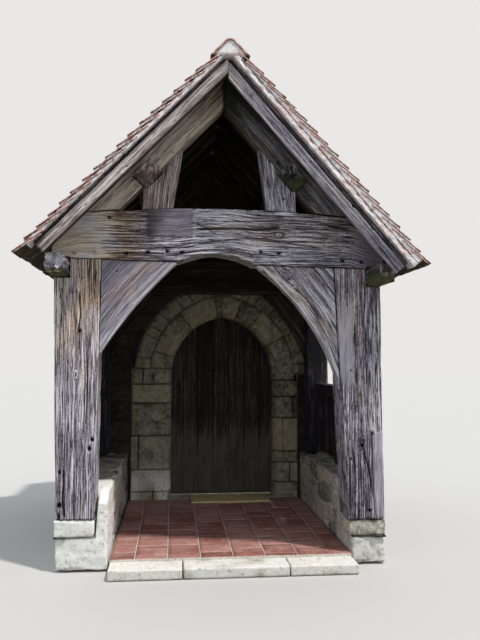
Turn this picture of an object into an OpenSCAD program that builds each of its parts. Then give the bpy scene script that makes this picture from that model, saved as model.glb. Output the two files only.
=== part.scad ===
// Timber-framed porch with a plain-tiled gable roof, in front of a pointed stone doorway.
// X runs to the right, Y runs from the open front to the stone wall, Z runs up from the ground.
// The origin is on the ground, on the centre line, halfway along the tiled floor.
// Sizes are in millimetres. Heights named "above the floor" are counted from the tiled floor.

/* [Plan] */
// Depth of the tiled floor, from its front edge to the stone wall
floor_depth = 2100; // [1700:10:2600]
// Left edge of the tiled floor, from the centre line
floor_left = 795; // [750:5:860]
// Right edge of the tiled floor, from the centre line
floor_right = 945; // [900:5:980]
// Outer face of the left dwarf wall, from the centre line
dwarf_out_left = 1190; // [1150:5:1230]
// Outer face of the right dwarf wall, from the centre line
dwarf_out_right = 1215; // [1180:5:1250]
// Depth of the stone kerb in front of the floor
kerb_depth = 220; // [120:5:400]

/* [Heights] */
// Height of the tiled floor above the ground
floor_h = 90; // [50:5:150]
// How far the kerb lies below the floor
kerb_drop = 12; // [0:1:30]
// Height of the dwarf walls above the floor
dwarf_h = 480; // [400:5:600]
// Top of the left padstone above the floor
pad_top_left = 280; // [200:5:340]
// Top of the right padstone above the floor
pad_top_right = 240; // [180:5:300]
// Thickness of the padstones
pad_t = 130; // [80:5:160]
// How far a padstone reaches in past the foot of its post
pad_lip = 5; // [0:1:20]

/* [Front posts] */
// Depth of a front post, from front to back
post_d = 290; // [200:5:330]
// Width of the left front post at its foot
left_foot_w = 272; // [220:2:300]
// Width of the left front post at its head
left_head_w = 342; // [300:2:380]
// Inner face of the left front post at its foot, from the centre line
left_foot_in = 904; // [880:2:930]
// Inner face of the left front post at its head, from the centre line
left_head_in = 876; // [850:2:900]
// Width of the right front post at its foot
right_foot_w = 275; // [220:2:290]
// Width of the right front post at its head
right_head_w = 354; // [310:2:390]
// Inner face of the right front post at its foot, from the centre line
right_foot_in = 926; // [900:2:940]
// Inner face of the right front post at its head, from the centre line
right_head_in = 834; // [810:2:860]
// Height of the left post head above the floor
left_head_z = 2129; // [2100:1:2160]
// Height of the right post head above the floor
right_head_z = 2087; // [2060:1:2115]

/* [Tie beams and braces] */
// Thickness of the front tie beam, from front to back
tie_d = 230; // [150:5:280]
// Height of the tie beam's top edge at its middle, above the floor
tie_top_mid = 2518; // [2490:2:2560]
// Height of the tie beam's top edge at its ends, above the floor
tie_top_end = 2472; // [2430:2:2500]
// Left end of the tie beam, from the centre line
tie_end_left = 1228; // [1180:2:1260]
// Right end of the tie beam, from the centre line
tie_end_right = 1208; // [1190:2:1240]
// Rise of the arch cut in the tie beam's underside
tie_arch_rise = 70; // [30:2:110]
// Left end of that arch, from the centre line
tie_arch_left = 320; // [260:5:400]
// Right end of that arch, from the centre line
tie_arch_right = 230; // [180:5:320]
// Thickness of the arch braces, from front to back
brace_d = 95; // [60:5:130]
// How far the braces are set back from the front of the posts
brace_setback = 12; // [0:2:60]
// Foot of the left brace above the floor
left_brace_foot = 1432; // [1300:4:1600]
// Hollow of the left brace's curve
left_brace_sag = 32; // [5:1:80]
// Foot of the right brace above the floor
right_brace_foot = 1168; // [1000:4:1400]
// Hollow of the right brace's curve
right_brace_sag = 102; // [20:2:140]

/* [Roof] */
// Gap between pieces that meet on a slanting face
seat_gap = 0.3; // [0.2:0.05:1]
// Place of the ridge, right of the centre line
ridge_x = 20; // [-20:2:60]
// Height of the rafter backs' apex above the floor
ridge_z = 3545; // [3400:5:3700]
// Pitch of the left slope in degrees
pitch_left = 45.8; // [44:0.1:47]
// Pitch of the right slope in degrees
pitch_right = 48.8; // [47.5:0.1:50]
// How far the roof stands out in front of the posts
verge_out = 345; // [250:5:450]
// Left eaves edge of the tiles, from the centre line
eaves_left = 1447; // [1400:5:1520]
// Right eaves edge of the tiles, from the centre line
eaves_right = 1467; // [1400:5:1540]
// Thickness of the tiling on the left slope
cover_left = 88; // [60:1:110]
// Thickness of the tiling on the right slope
cover_right = 126; // [90:1:150]
// How much thinner the left slope's tiling is at the eaves
eaves_dip_left = 22; // [0:1:40]
// Thickness of the tiles at the eaves edge
eaves_t = 30; // [15:1:50]
// Distance from the ridge at which the tiling has its full thickness
full_cover = 600; // [400:10:900]
// Where the last course starts to tip, out past the ends of the barge boards
eaves_tip = 12; // [5:1:40]
// Height of the ridge tile's top above the rafter backs' apex
ridge_rise = 106; // [90:2:180]
// Half the width of the ridge tiles
ridge_half = 140; // [110:2:170]
// Depth of the ridge tiles from their top to their feet
ridge_h = 125; // [110:1:160]
// Depth of the solid crown of the ridge tiles
ridge_t = 90; // [70:1:100]
// How far the ridge tiles lie to the right of the ridge
ridge_shift = 10; // [-20:1:30]
// Radius of the ridge tiles' crown
ridge_round = 48; // [30:1:70]
// Depth of the common rafters
rafter_h = 75; // [60:1:90]
// Width of the common rafters
rafter_w = 110; // [70:5:130]
// Depth of the principal rafters
principal_h = 180; // [150:2:200]
// Thickness of the principal rafters, from front to back
principal_d = 150; // [100:5:200]
// Number of common rafters between the front and rear frames
rafter_count = 4; // [3:1:6]

/* [Purlins, struts and plates] */
// Width of the purlins, along the slope
purlin_w = 186; // [140:2:200]
// Depth of the purlins, square to the slope
purlin_h = 132; // [100:2:150]
// Place of the left purlin's middle, from the centre line
purlin_left = 545; // [500:5:570]
// Place of the right purlin's middle, from the centre line
purlin_right = 520; // [480:5:550]
// How far the purlins stand out in front of the principal rafters
purlin_proj = 45; // [10:5:200]
// Thickness of the struts, from front to back
strut_d = 120; // [80:5:170]
// How far the struts are set in from the faces of the tie beams
strut_inset = 15; // [0:1:30]
// Inner edge of the left strut's foot, from the centre line
strut_foot_left = 366; // [320:2:400]
// Inner edge of the right strut's foot, from the centre line
strut_foot_right = 334; // [300:2:380]
// Inner edge of the left strut's head, from the centre line
strut_head_left = 285; // [250:2:310]
// Inner edge of the right strut's head, from the centre line
strut_head_right = 268; // [240:2:290]
// Width of a strut at its foot
strut_w = 234; // [180:2:260]
// How much a strut's outer edge leans inwards
strut_lean = 22; // [0:2:60]
// Width of the wall plates
plate_w = 140; // [110:5:170]
// Depth of the wall plates
plate_h = 150; // [120:5:180]
// Outer face of the left wall plate, from the centre line
plate_out_left = 1238; // [1225:2:1280]
// Outer face of the right wall plate, from the centre line
plate_out_right = 1218; // [1200:2:1250]
// Top of the left wall plate above the floor
plate_top_left = 2142; // [2125:2:2160]
// Top of the right wall plate above the floor
plate_top_right = 2098; // [2080:2:2115]
// How far the wall plates stand out in front of the posts
plate_proj = 262; // [150:2:280]

/* [Barge boards] */
// Depth of the left barge board's face
barge_h_left = 68; // [50:1:90]
// Depth of the right barge board's face
barge_h_right = 80; // [50:1:90]
// Depth of the left fillet along the board's top edge
fillet_left = 17; // [8:1:30]
// Depth of the right fillet along the board's top edge
fillet_right = 32; // [12:1:40]
// How far the fillets lie behind the boards' faces
fillet_back = 8; // [2:1:20]
// Thickness of the barge boards
barge_t = 36; // [20:1:50]
// How far the verge stands out past the barge boards
verge_lip = 42; // [20:1:70]
// Lower end of the left barge board, from the centre line
barge_end_left = 1298; // [1240:2:1340]
// Lower end of the right barge board, from the centre line
barge_end_right = 1296; // [1240:2:1340]
// Thickness of the mortar under the verge tiles
verge_bed = 46; // [25:1:60]
// How far the mortar's face lies behind the tiles' edges
verge_tuck = 6; // [2:1:20]
// How far the verge mortar reaches back under the tiles
verge_depth = 160; // [80:5:240]

/* [Side walls] */
// Thickness of the side boarding
board_t = 26; // [18:1:40]
// How far the right-hand boarding is set in from the dwarf wall's face
boards_inset = 10; // [0:1:40]
// Width of the side studs, along the wall
stud_w = 110; // [70:5:150]
// Thickness of the side studs, across the wall
stud_t = 88; // [60:2:110]
// Top of the right-hand mid rail above the floor
rail_top = 1172; // [1000:4:1400]
// Depth of the right-hand mid rail
rail_h = 105; // [60:5:150]
// Width of a rear post, across the wall
rear_post_w = 215; // [160:5:230]
// Depth of a rear post, along the wall
rear_post_d = 190; // [120:5:240]
// Thickness of the rear tie beam, from front to back
rear_tie_d = 150; // [100:5:190]
// Depth of the rear tie beam
rear_tie_h = 330; // [200:5:360]
// How far the rear post heads lie below the right front post's head
rear_drop = 14; // [0:1:40]
// Foot of the rear braces above the floor
rear_brace_foot = 1350; // [1200:10:1500]
// Width of the rear braces at their heads
rear_brace_w = 470; // [300:10:600]
// Hollow of the rear braces' curve
rear_brace_sag = 60; // [20:2:90]
// Thickness of the rear braces, from front to back
rear_brace_d = 70; // [50:5:110]

/* [Stone wall and doorway] */
// Thickness of the stone wall
wall_t = 760; // [600:10:900]
// Centre of the doorway, right of the centre line
door_x = 153; // [120:2:180]
// Half the width of the doorway
door_half = 520; // [460:2:560]
// Springing of the arch above the floor
spring_z = 1250; // [1150:5:1350]
// Rise of the arch
arch_rise = 600; // [560:5:660]
// Depth of the stone order in front of the door
order_d = 220; // [150:5:300]
// Width of the ring of arch stones
ring_w = 225; // [180:5:260]
// Width of the outer course of arch stones
outer_w = 150; // [100:5:170]
// Width of the left jamb stones
jamb_left_w = 410; // [385:5:430]
// Width of the right jamb stones
jamb_right_w = 260; // [230:5:300]
// Clearance of the inner reveal above the door's peak
reveal_over = 70; // [30:5:150]
// Clearance of the inner reveal beside the door's free edge
reveal_beside = 32; // [15:1:80]
// Height of the oak lintel over the inner reveal
lintel_h = 150; // [100:5:200]
// How far the lintel's ends bear on the wall
lintel_bearing = 170; // [100:5:250]
// Thickness of the sill stone
sill_t = 90; // [50:5:150]

/* [Door] */
// Thickness of the door's planks
leaf_t = 46; // [30:1:60]
// How far the door laps behind the stone on each side
leaf_lap = 50; // [30:1:70]
// Clearance round the moving door
leaf_gap = 8; // [6:0.5:15]
// Further clearance under the door
sill_gap = 4; // [0:1:20]
// Thickness of the ledges behind the planks
ledge_t = 32; // [20:1:45]
// Height of each ledge
ledge_h = 140; // [100:5:180]
// How far the ledges end inside the door's edges
ledge_in = 45; // [20:1:80]
// Lowest ledge's middle above the floor
ledge_low = 260; // [200:10:320]
// Middle ledge's middle above the floor
ledge_mid = 740; // [620:10:860]
// Top ledge's middle above the floor
ledge_high = 1230; // [1100:10:1300]
// Length of the strap hinges
strap_len = 760; // [500:10:900]
// Height of the straps
strap_h = 44; // [30:1:60]
// Thickness of the straps
strap_t = 8; // [5:0.5:12]
// Radius of the hinge pins
pin_r = 9; // [7:0.5:12]
// Clearance of a hinge eye round its pin
pin_gap = 0.3; // [0.2:0.05:0.6]
// Gap between the door's edge and its hinge eyes
pin_off = 3; // [1:0.5:8]
// Height of a pintle's foot under its pin
pintle_h = 26; // [16:1:40]
// How far a pin stands above its eye
pin_over = 10; // [4:1:20]
// Thickness of a hinge eye's wall
eye_t = 8; // [5:0.5:12]
// Height of the latch ring above the floor
latch_z = 850; // [700:10:1000]
// Radius of the latch ring
latch_r = 42; // [30:1:55]
// Radius of the ring's bar
latch_bar_r = 5; // [4:0.5:7]
// Radius of the plate behind the ring
latch_plate_r = 30; // [20:1:40]
// Thickness of that plate
latch_plate_t = 6; // [3:0.5:10]
// How far the boss stands out from the door
latch_boss = 20; // [14:1:30]
// How far the latch lies in from the doorway's right side
latch_in = 230; // [80:5:400]

/* [Doormat] */
// Width of the doormat
mat_w = 780; // [500:10:900]
// Depth of the doormat
mat_d = 370; // [300:10:500]
// Thickness of the doormat
mat_t = 30; // [15:1:40]
// Middle of the doormat, right of the doorway's middle
mat_x = 66; // [-60:2:100]
// How far the doormat reaches in between the door jambs
mat_in = 130; // [0:5:180]

/* [Hidden] */
front_y = -floor_depth / 2;
wall_y = floor_depth / 2;
back_y = wall_y + wall_t;
verge_y = front_y - verge_out;
barge_y = verge_y + verge_lip;
rafter_front_y = barge_y + barge_t;
post_back_y = front_y + post_d;
rear_post_y = wall_y - rear_post_d;
tie_back_y = front_y + tie_d;
rear_tie_y = wall_y - rear_tie_d;

// Padstones reach in just past the feet of the front posts
pad_in_left = left_foot_in - pad_lip;
pad_in_right = min(floor_right, right_foot_in - pad_lip);

// Rear posts follow the outer line of the dwarf walls
rear_out_left = dwarf_out_left;
rear_out_right = dwarf_out_right;
rear_head = right_head_z - rear_drop;

// Faces of the side studs and of the right-hand boarding
left_stud_x = -dwarf_out_left + board_t;
right_boards_x = dwarf_out_right - boards_inset;
right_stud_x = right_boards_x - board_t - stud_t;
bay = (rear_post_y - post_back_y - stud_w) / 2;

// The arch over the doorway is struck from two centres on the springing line
arch_offset = (arch_rise * arch_rise - door_half * door_half) / (2 * door_half);
arch_r = door_half + arch_offset;
function arch_peak(grow) = spring_z + sqrt(pow(arch_r + grow, 2) - pow(arch_offset, 2));
arch_steps = 14;

// The door's leaf and its hinge line
leaf_half = door_half + leaf_lap;
leaf_front_y = wall_y + order_d + leaf_gap;
leaf_back_y = leaf_front_y + leaf_t;
ledge_back_y = leaf_back_y + ledge_t;
leaf_bottom = leaf_gap + sill_gap;
ridge_top = ridge_z + ridge_rise;

// The ridge tiles' middle, their two feet and the top of the hollow under them
ridge_mid = ridge_x + ridge_shift;
function ridge_foot(side) = [ridge_mid + side * ridge_half, ridge_top - ridge_h];
ridge_hollow = [ridge_x, ridge_top - ridge_t];
eye_r = pin_r + pin_gap + eye_t;
pin_x = door_x - leaf_half - eye_r - pin_off;
pin_y = ledge_back_y + strap_t / 2;
reveal_left = pin_x - eye_r - leaf_gap;
reveal_right = door_x + leaf_half + reveal_beside;
reveal_h = arch_peak(leaf_lap) + reveal_over;
straps_z = [ledge_low, ledge_high];

oak = [0.42, 0.38, 0.36];
oak_dark = [0.26, 0.23, 0.20];
limestone = [0.72, 0.68, 0.58];
rubble = [0.62, 0.60, 0.55];
clay = [0.62, 0.33, 0.25];
mortar = [0.80, 0.78, 0.73];
iron = [0.16, 0.15, 0.15];

// Extrudes an outline drawn in the front elevation, from y0 back to y1
module across(y0, y1) {
    translate([0, y1, floor_h]) rotate([90, 0, 0]) linear_extrude(y1 - y0) children();
}

// A block between two corners, with heights above the floor
module block(low, high) {
    translate([low[0], low[1], low[2] + floor_h])
        cube([high[0] - low[0], high[1] - low[1], high[2] - low[2]]);
}

// The line of the rafters' backs: side is -1 on the left slope and 1 on the right
function pitch(side) = side < 0 ? pitch_left : pitch_right;
function back_z(side, x) = ridge_z - abs(x - ridge_x) * tan(pitch(side));
function under_principal(side, x) = back_z(side, x) - principal_h / cos(pitch(side));
function barge_foot(side) = side < 0 ? -barge_end_left : barge_end_right;
function apex(side, d) =
    let (x = ridge_x + side * seat_gap) [x, back_z(side, x) - d / cos(pitch(side))];
function under(side, x, d) =
    [x - side * d * sin(pitch(side)), back_z(side, x) - d * cos(pitch(side))];

// A strip of one slope, from depth d0 to d1 below the rafters' backs, square at its foot
module slope(side, d0, d1, foot_x) {
    polygon([apex(side, d0), under(side, foot_x, d0), under(side, foot_x, d1), apex(side, d1)]);
}

// Everything under the rafters' backs
module roof_space() {
    polygon([[-eaves_left, back_z(-1, -eaves_left)], [ridge_x, ridge_z],
        [eaves_right, back_z(1, eaves_right)], [eaves_right, 0], [-eaves_left, 0]]);
}

// The straight line of the front tie beam's underside, and the point just under it
function head_line(x) = left_head_z + (x + left_head_in) / (left_head_in + right_head_in)
    * (right_head_z - left_head_z);
function under_tie(x) = [x, head_line(x) - seat_gap];

// Points of a hollow curve from a to b, with its rise measured square to the chord
function bow(a, b, rise, steps = 10) =
    let (run = b - a, turn = [-run[1], run[0]] / norm(run))
    [for (i = [0 : steps]) let (t = i / steps) a + run * t + turn * rise * 4 * t * (1 - t)];

// Outline of a pointed arch standing grow outside the doorway, down to z0 above the floor
function arch_half(grow, side) =
    let (r = arch_r + grow, top = acos(arch_offset / r))
    [for (i = [0 : arch_steps]) let (a = top * i / arch_steps)
        [door_x + side * (r * cos(a) - arch_offset), spring_z + r * sin(a)]];
module pointed_arch(grow, z0) {
    right = arch_half(grow, 1);
    left = arch_half(grow, -1);
    mirrored = [for (i = [arch_steps - 1 : -1 : 0]) left[i]];
    polygon(concat([[door_x + door_half + grow, z0]], right, mirrored,
        [[door_x - door_half - grow, z0]]));
}

module floor_bed() color(clay)
    translate([-floor_left, front_y, 0]) cube([floor_left + floor_right, floor_depth, floor_h]);

module front_kerb() color(limestone)
    translate([-floor_left, front_y - kerb_depth, 0])
        cube([floor_left + floor_right, kerb_depth, floor_h - kerb_drop]);

// A dwarf wall with its front end stepped down under the padstone
module dwarf_wall(inner, outer, pad_in, pad_top) {
    low = min(inner, outer);
    difference() {
        translate([low, front_y, 0]) cube([abs(outer - inner), floor_depth, dwarf_h + floor_h]);
        block([min(pad_in, outer * 2), front_y - 1, pad_top - pad_t],
            [max(pad_in, outer * 2), post_back_y, dwarf_h + 1]);
    }
}

module left_dwarf_wall() color(rubble)
    dwarf_wall(-floor_left, -dwarf_out_left, -pad_in_left, pad_top_left);

module right_dwarf_wall() color(rubble)
    dwarf_wall(floor_right, dwarf_out_right, pad_in_right, pad_top_right);

module padstones() color(limestone) {
    block([-dwarf_out_left, front_y, pad_top_left - pad_t],
        [-pad_in_left, post_back_y, pad_top_left]);
    block([pad_in_right, front_y, pad_top_right - pad_t],
        [dwarf_out_right, post_back_y, pad_top_right]);
}

module plate_outline(side) {
    outer = side < 0 ? -plate_out_left : plate_out_right - plate_w;
    top = side < 0 ? plate_top_left : plate_top_right;
    translate([outer, top - plate_h]) square([plate_w, plate_h]);
}

module left_front_post() color(oak)
    across(front_y, post_back_y) difference() {
        polygon([[-left_foot_in - left_foot_w, pad_top_left], [-left_foot_in, pad_top_left],
            under_tie(-left_head_in), under_tie(-left_head_in - left_head_w)]);
        plate_outline(-1);
    }

module right_front_post() color(oak)
    across(front_y, post_back_y) difference() {
        polygon([[right_foot_in + right_foot_w, pad_top_right], [right_foot_in, pad_top_right],
            under_tie(right_head_in), under_tie(right_head_in + right_head_w)]);
        plate_outline(1);
    }

module rear_posts() color(oak_dark)
    across(rear_post_y, wall_y) difference() {
        union() {
            translate([-rear_out_left, dwarf_h]) square([rear_post_w, rear_head - dwarf_h]);
            translate([rear_out_right - rear_post_w, dwarf_h])
                square([rear_post_w, rear_head - dwarf_h]);
        }
        plate_outline(-1);
        plate_outline(1);
    }

// The bowed top edge of the front tie beam, from right to left, and all that lies below it
function tie_top() =
    let (ends = [for (side = [1, -1])
        [ridge_x + side * (ridge_z - tie_top_end) / tan(pitch(side)), tie_top_end]])
    bow(ends[0], ends[1], tie_top_end - tie_top_mid);
module below_tie_top() {
    polygon(concat(tie_top(), [[-eaves_left, tie_top_end], [-eaves_left, 0], [eaves_right, 0],
        [eaves_right, tie_top_end]]));
}

// Front tie beam: its underside falls from left to right and is arched between the braces
module tie_outline() {
    arch_a = [-tie_arch_left, head_line(-tie_arch_left)];
    arch_b = [tie_arch_right, head_line(tie_arch_right)];
    difference() {
        polygon(concat(
            [[-tie_end_left, head_line(-tie_end_left)]],
            bow(arch_a, arch_b, tie_arch_rise),
            [[tie_end_right, head_line(tie_end_right)], [tie_end_right, back_z(1, tie_end_right)]],
            tie_top(),
            [[-tie_end_left, back_z(-1, -tie_end_left)]]));
        plate_outline(-1);
        plate_outline(1);
    }
}

module front_tie_beam() color(oak) across(front_y, tie_back_y) tie_outline();

module rear_tie_outline() {
    intersection() {
        translate([-rear_out_left, rear_head])
            square([rear_out_left + rear_out_right, rear_tie_h]);
        roof_space();
    }
}

module rear_tie_beam() color(oak_dark)
    across(rear_tie_y, wall_y) difference() {
        rear_tie_outline();
        plate_outline(-1);
        plate_outline(1);
    }

// Inner faces of the front posts, which lean in towards their heads
function left_post_face(z) = -left_head_in
    - (left_foot_in - left_head_in) * (left_head_z - z) / (left_head_z - pad_top_left);
function right_post_face(z) = right_head_in
    + (right_foot_in - right_head_in) * (right_head_z - z) / (right_head_z - pad_top_right);

module left_arch_brace() color(oak)
    across(front_y + brace_setback, front_y + brace_setback + brace_d)
        polygon(concat(
            bow([left_post_face(left_brace_foot) + seat_gap, left_brace_foot],
                under_tie(-tie_arch_left), left_brace_sag),
            [under_tie(-left_head_in + seat_gap)]));

module right_arch_brace() color(oak)
    across(front_y + brace_setback, front_y + brace_setback + brace_d)
        polygon(concat(
            bow(under_tie(tie_arch_right),
                [right_post_face(right_brace_foot) - seat_gap, right_brace_foot],
                right_brace_sag),
            [under_tie(right_head_in - seat_gap)]));

module rear_braces() color(oak_dark) {
    left_x = -rear_out_left + rear_post_w;
    right_x = rear_out_right - rear_post_w;
    across(rear_tie_y, rear_tie_y + rear_brace_d) {
        polygon(concat(bow([left_x, rear_brace_foot], [left_x + rear_brace_w, rear_head],
            rear_brace_sag), [[left_x, rear_head]]));
        polygon(concat(bow([right_x - rear_brace_w, rear_head], [right_x, rear_brace_foot],
            rear_brace_sag), [[right_x, rear_head]]));
    }
}

module wall_plates() color(oak_dark)
    across(front_y - plate_proj, wall_y) {
        plate_outline(-1);
        plate_outline(1);
    }

// A purlin lies square to its slope, right under the common rafters
module purlin_outline(side) {
    depth = rafter_h + seat_gap + purlin_h / 2;
    place = side < 0 ? -purlin_left : purlin_right;
    centre = under(side, place + side * depth * sin(pitch(side)), depth);
    translate(centre) rotate(-side * pitch(side)) square([purlin_w, purlin_h], center = true);
}

module purlins() color(oak)
    across(front_y - purlin_proj, wall_y) {
        purlin_outline(-1);
        purlin_outline(1);
    }

module principal_outline(side) {
    foot_x = side < 0 ? -tie_end_left : tie_end_right;
    difference() {
        slope(side, 0, principal_h, foot_x);
        below_tie_top();
        purlin_outline(side);
    }
}

module front_principals() color(oak)
    across(front_y, front_y + principal_d) {
        principal_outline(-1);
        principal_outline(1);
    }

module rear_principals() color(oak_dark)
    across(wall_y - principal_d, wall_y)
        for (side = [-1, 1]) difference() {
            slope(side, 0, principal_h, side < 0 ? -tie_end_left : tie_end_right);
            below_rear_tie_top();
            purlin_outline(side);
        }

// A raking strut from a tie beam up to the principal, notched round the purlin
module strut_outline(side, seat_z) {
    foot = side < 0 ? strut_foot_left : strut_foot_right;
    head = side < 0 ? strut_head_left : strut_head_right;
    difference() {
        intersection() {
            polygon([[side * (foot + strut_w), 0], [side * foot, 0], [side * foot, seat_z],
                [side * head, under_principal(side, side * head)],
                [side * head, ridge_z], [side * (foot + strut_w - strut_lean), ridge_z]]);
            polygon([apex(side, principal_h + seat_gap),
                under(side, side * eaves_left, principal_h + seat_gap),
                [side * eaves_left, 0], [ridge_x, 0]]);
        }
        purlin_outline(side);
        children();
    }
}

module front_struts() color(oak)
    across(front_y + strut_inset, front_y + strut_inset + strut_d)
        for (side = [-1, 1]) strut_outline(side, tie_top_end) below_tie_top();

// Everything up to the top of the rear tie beam
module below_rear_tie_top() {
    translate([-eaves_left, 0]) square([eaves_left + eaves_right, rear_head + rear_tie_h]);
}

module rear_struts() color(oak_dark)
    across(wall_y - strut_inset - strut_d, wall_y - strut_inset)
        for (side = [-1, 1])
            strut_outline(side, rear_head + rear_tie_h) below_rear_tie_top();

// Common rafters: one behind the barge board, the rest spaced between the two frames
rafter_gap_y = (wall_y - principal_d - front_y - principal_d) / (rafter_count + 1);
rafter_ys = concat([rafter_front_y], [for (i = [1 : rafter_count])
    front_y + principal_d + rafter_gap_y * i - rafter_w / 2]);
module rafters(side) {
    for (y = rafter_ys) across(y, y + rafter_w) difference() {
        slope(side, 0, rafter_h, barge_foot(side));
        plate_outline(side);
    }
}

module common_rafters() color(oak_dark) {
    rafters(-1);
    rafters(1);
}

module left_barge_board() color(oak) {
    across(barge_y, rafter_front_y)
        slope(-1, fillet_left, fillet_left + barge_h_left, -barge_end_left);
    across(barge_y + fillet_back, rafter_front_y) slope(-1, 0, fillet_left, -barge_end_left);
}

module right_barge_board() color(oak) {
    across(barge_y, rafter_front_y)
        slope(1, fillet_right, fillet_right + barge_h_right, barge_end_right);
    across(barge_y + fillet_back, rafter_front_y) slope(1, 0, fillet_right, barge_end_right);
}

module verge_mortar() color(mortar)
    across(verge_y + verge_tuck, verge_y + verge_tuck + verge_depth) difference() {
        for (side = [-1, 1])
            slope(side, seat_gap - verge_bed, -seat_gap, barge_foot(side) - side * seat_gap);
        ridge_outline();
    }

// One slope of tiling, up to the foot of the ridge tiles, its last course tipped up at the eaves
module tile_outline(side) {
    cover = side < 0 ? cover_left : cover_right;
    tail_cover = cover - (side < 0 ? eaves_dip_left : 0);
    tail = side * ((side < 0 ? eaves_left : eaves_right) - tail_cover * sin(pitch(side)));
    polygon([apex(side, -seat_gap),
        under(side, barge_foot(side) + side * eaves_tip, -seat_gap),
        under(side, tail, eaves_t - tail_cover), under(side, tail, -tail_cover),
        under(side, ridge_x + side * full_cover, -cover), ridge_foot(side), ridge_hollow]);
}

module tile_slope(side) {
    difference() {
        across(verge_y, wall_y) tile_outline(side);
        across(verge_y - 1, verge_y + verge_tuck + verge_depth)
            slope(side, -verge_bed, 1, barge_foot(side));
    }
}

module left_roof_tiles() color(clay) tile_slope(-1);
module right_roof_tiles() color(clay) tile_slope(1);

// Ridge tiles: a rounded cap that sits down over both slopes
module ridge_outline() {
    polygon(concat([ridge_foot(1)],
        [for (a = [50 : -10 : -50])
            [ridge_mid + ridge_round * sin(a), ridge_top - ridge_round + ridge_round * cos(a)]],
        [ridge_foot(-1), ridge_hollow]));
}

module ridge_tiles() color(clay) across(verge_y - 4, wall_y) ridge_outline();

module side_boards(outer, z1) {
    low = outer < 0 ? outer : outer - board_t;
    block([low, post_back_y, dwarf_h], [low + board_t, rear_post_y, z1]);
}

module left_side_boards() color(oak_dark) side_boards(-dwarf_out_left, plate_top_left - plate_h);
module right_side_boards() color(oak_dark) side_boards(right_boards_x, rail_top - rail_h);

module left_side_studs() color(oak_dark)
    for (i = [0, 1]) block([left_stud_x, post_back_y + bay * i, dwarf_h],
        [left_stud_x + stud_t, post_back_y + bay * i + stud_w, plate_top_left - plate_h]);

module right_mid_rail() color(oak_dark)
    block([right_stud_x, post_back_y, rail_top - rail_h],
        [right_boards_x, rear_post_y, rail_top]);

module right_side_studs() color(oak_dark) {
    for (i = [0, 1]) {
        block([right_stud_x, post_back_y + bay * i, dwarf_h],
            [right_stud_x + stud_t, post_back_y + bay * i + stud_w, rail_top - rail_h]);
    }
    block([right_stud_x, post_back_y + bay, rail_top],
        [right_stud_x + stud_t, post_back_y + bay + stud_w, plate_top_right - plate_h]);
}

// Room for the jambs and the arch stones in the front of the wall
module order_cut() {
    across(wall_y - 1, wall_y + order_d) pointed_arch(ring_w + outer_w, spring_z);
    block([door_x - door_half - jamb_left_w, wall_y - 1, -floor_h - 1],
        [door_x + door_half + jamb_right_w, wall_y + order_d, spring_z]);
}

module wall_left_of_door() color(rubble) {
    difference() {
        block([-dwarf_out_left, wall_y, -floor_h], [door_x, wall_y + order_d, reveal_h]);
        order_cut();
    }
    block([-dwarf_out_left, wall_y + order_d, -floor_h], [reveal_left, back_y, reveal_h]);
}

module wall_right_of_door() color(rubble) {
    difference() {
        block([door_x, wall_y, -floor_h], [dwarf_out_right, wall_y + order_d, reveal_h]);
        order_cut();
    }
    block([reveal_right, wall_y + order_d, -floor_h], [dwarf_out_right, back_y, reveal_h]);
}

module lintel_block() {
    block([reveal_left - lintel_bearing, wall_y + order_d, reveal_h],
        [reveal_right + lintel_bearing, back_y, reveal_h + lintel_h]);
}

module wall_over_door() color(rubble)
    difference() {
        across(wall_y, back_y) polygon([[-dwarf_out_left, reveal_h],
            [-dwarf_out_left, back_z(-1, -dwarf_out_left)], [ridge_x, ridge_z],
            [dwarf_out_right, back_z(1, dwarf_out_right)], [dwarf_out_right, reveal_h]]);
        order_cut();
        lintel_block();
    }

module door_jambs() color(limestone) {
    block([door_x - door_half - jamb_left_w, wall_y, -floor_h],
        [door_x - door_half, wall_y + order_d, spring_z]);
    block([door_x + door_half, wall_y, -floor_h],
        [door_x + door_half + jamb_right_w, wall_y + order_d, spring_z]);
}

module door_arch() color(limestone)
    across(wall_y, wall_y + order_d) difference() {
        pointed_arch(ring_w, spring_z);
        pointed_arch(0, spring_z - 1);
    }

module outer_arch() color(limestone)
    across(wall_y, wall_y + order_d) difference() {
        pointed_arch(ring_w + outer_w, spring_z);
        pointed_arch(ring_w, spring_z - 1);
    }

module inner_lintel() color(oak_dark) lintel_block();

module door_sill() color(limestone) {
    block([door_x - door_half, wall_y, -sill_t], [door_x + door_half, wall_y + order_d, 0]);
    block([reveal_left, wall_y + order_d, -sill_t], [reveal_right, back_y, 0]);
}

module door_mat() color([0.55, 0.42, 0.25])
    block([door_x + mat_x - mat_w / 2, wall_y + mat_in - mat_d, 0],
        [door_x + mat_x + mat_w / 2, wall_y + mat_in, mat_t]);

module door_leaf() color(oak_dark)
    across(leaf_front_y, leaf_back_y) pointed_arch(leaf_lap, leaf_bottom);

module door_ledges() color(oak_dark)
    for (z = [ledge_low, ledge_mid, ledge_high])
        block([door_x - leaf_half + ledge_in, leaf_back_y, z - ledge_h / 2],
            [door_x + leaf_half - ledge_in, ledge_back_y, z + ledge_h / 2]);

// A round bar on the hinge line
module pin(z, h, r) {
    translate([pin_x, pin_y, z + floor_h]) cylinder(h = h, r = r, $fn = 48);
}

// Strap hinges: a flat strap on a ledge, ending in an eye round the pintle's pin
module door_strap_hinges() color(iron)
    for (z = straps_z) difference() {
        union() {
            block([pin_x, ledge_back_y, z - strap_h / 2],
                [pin_x + strap_len, ledge_back_y + strap_t, z + strap_h / 2]);
            pin(z - strap_h / 2, strap_h, eye_r);
        }
        pin(z - strap_h / 2 - 1, strap_h + 2, pin_r + pin_gap);
    }

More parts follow.
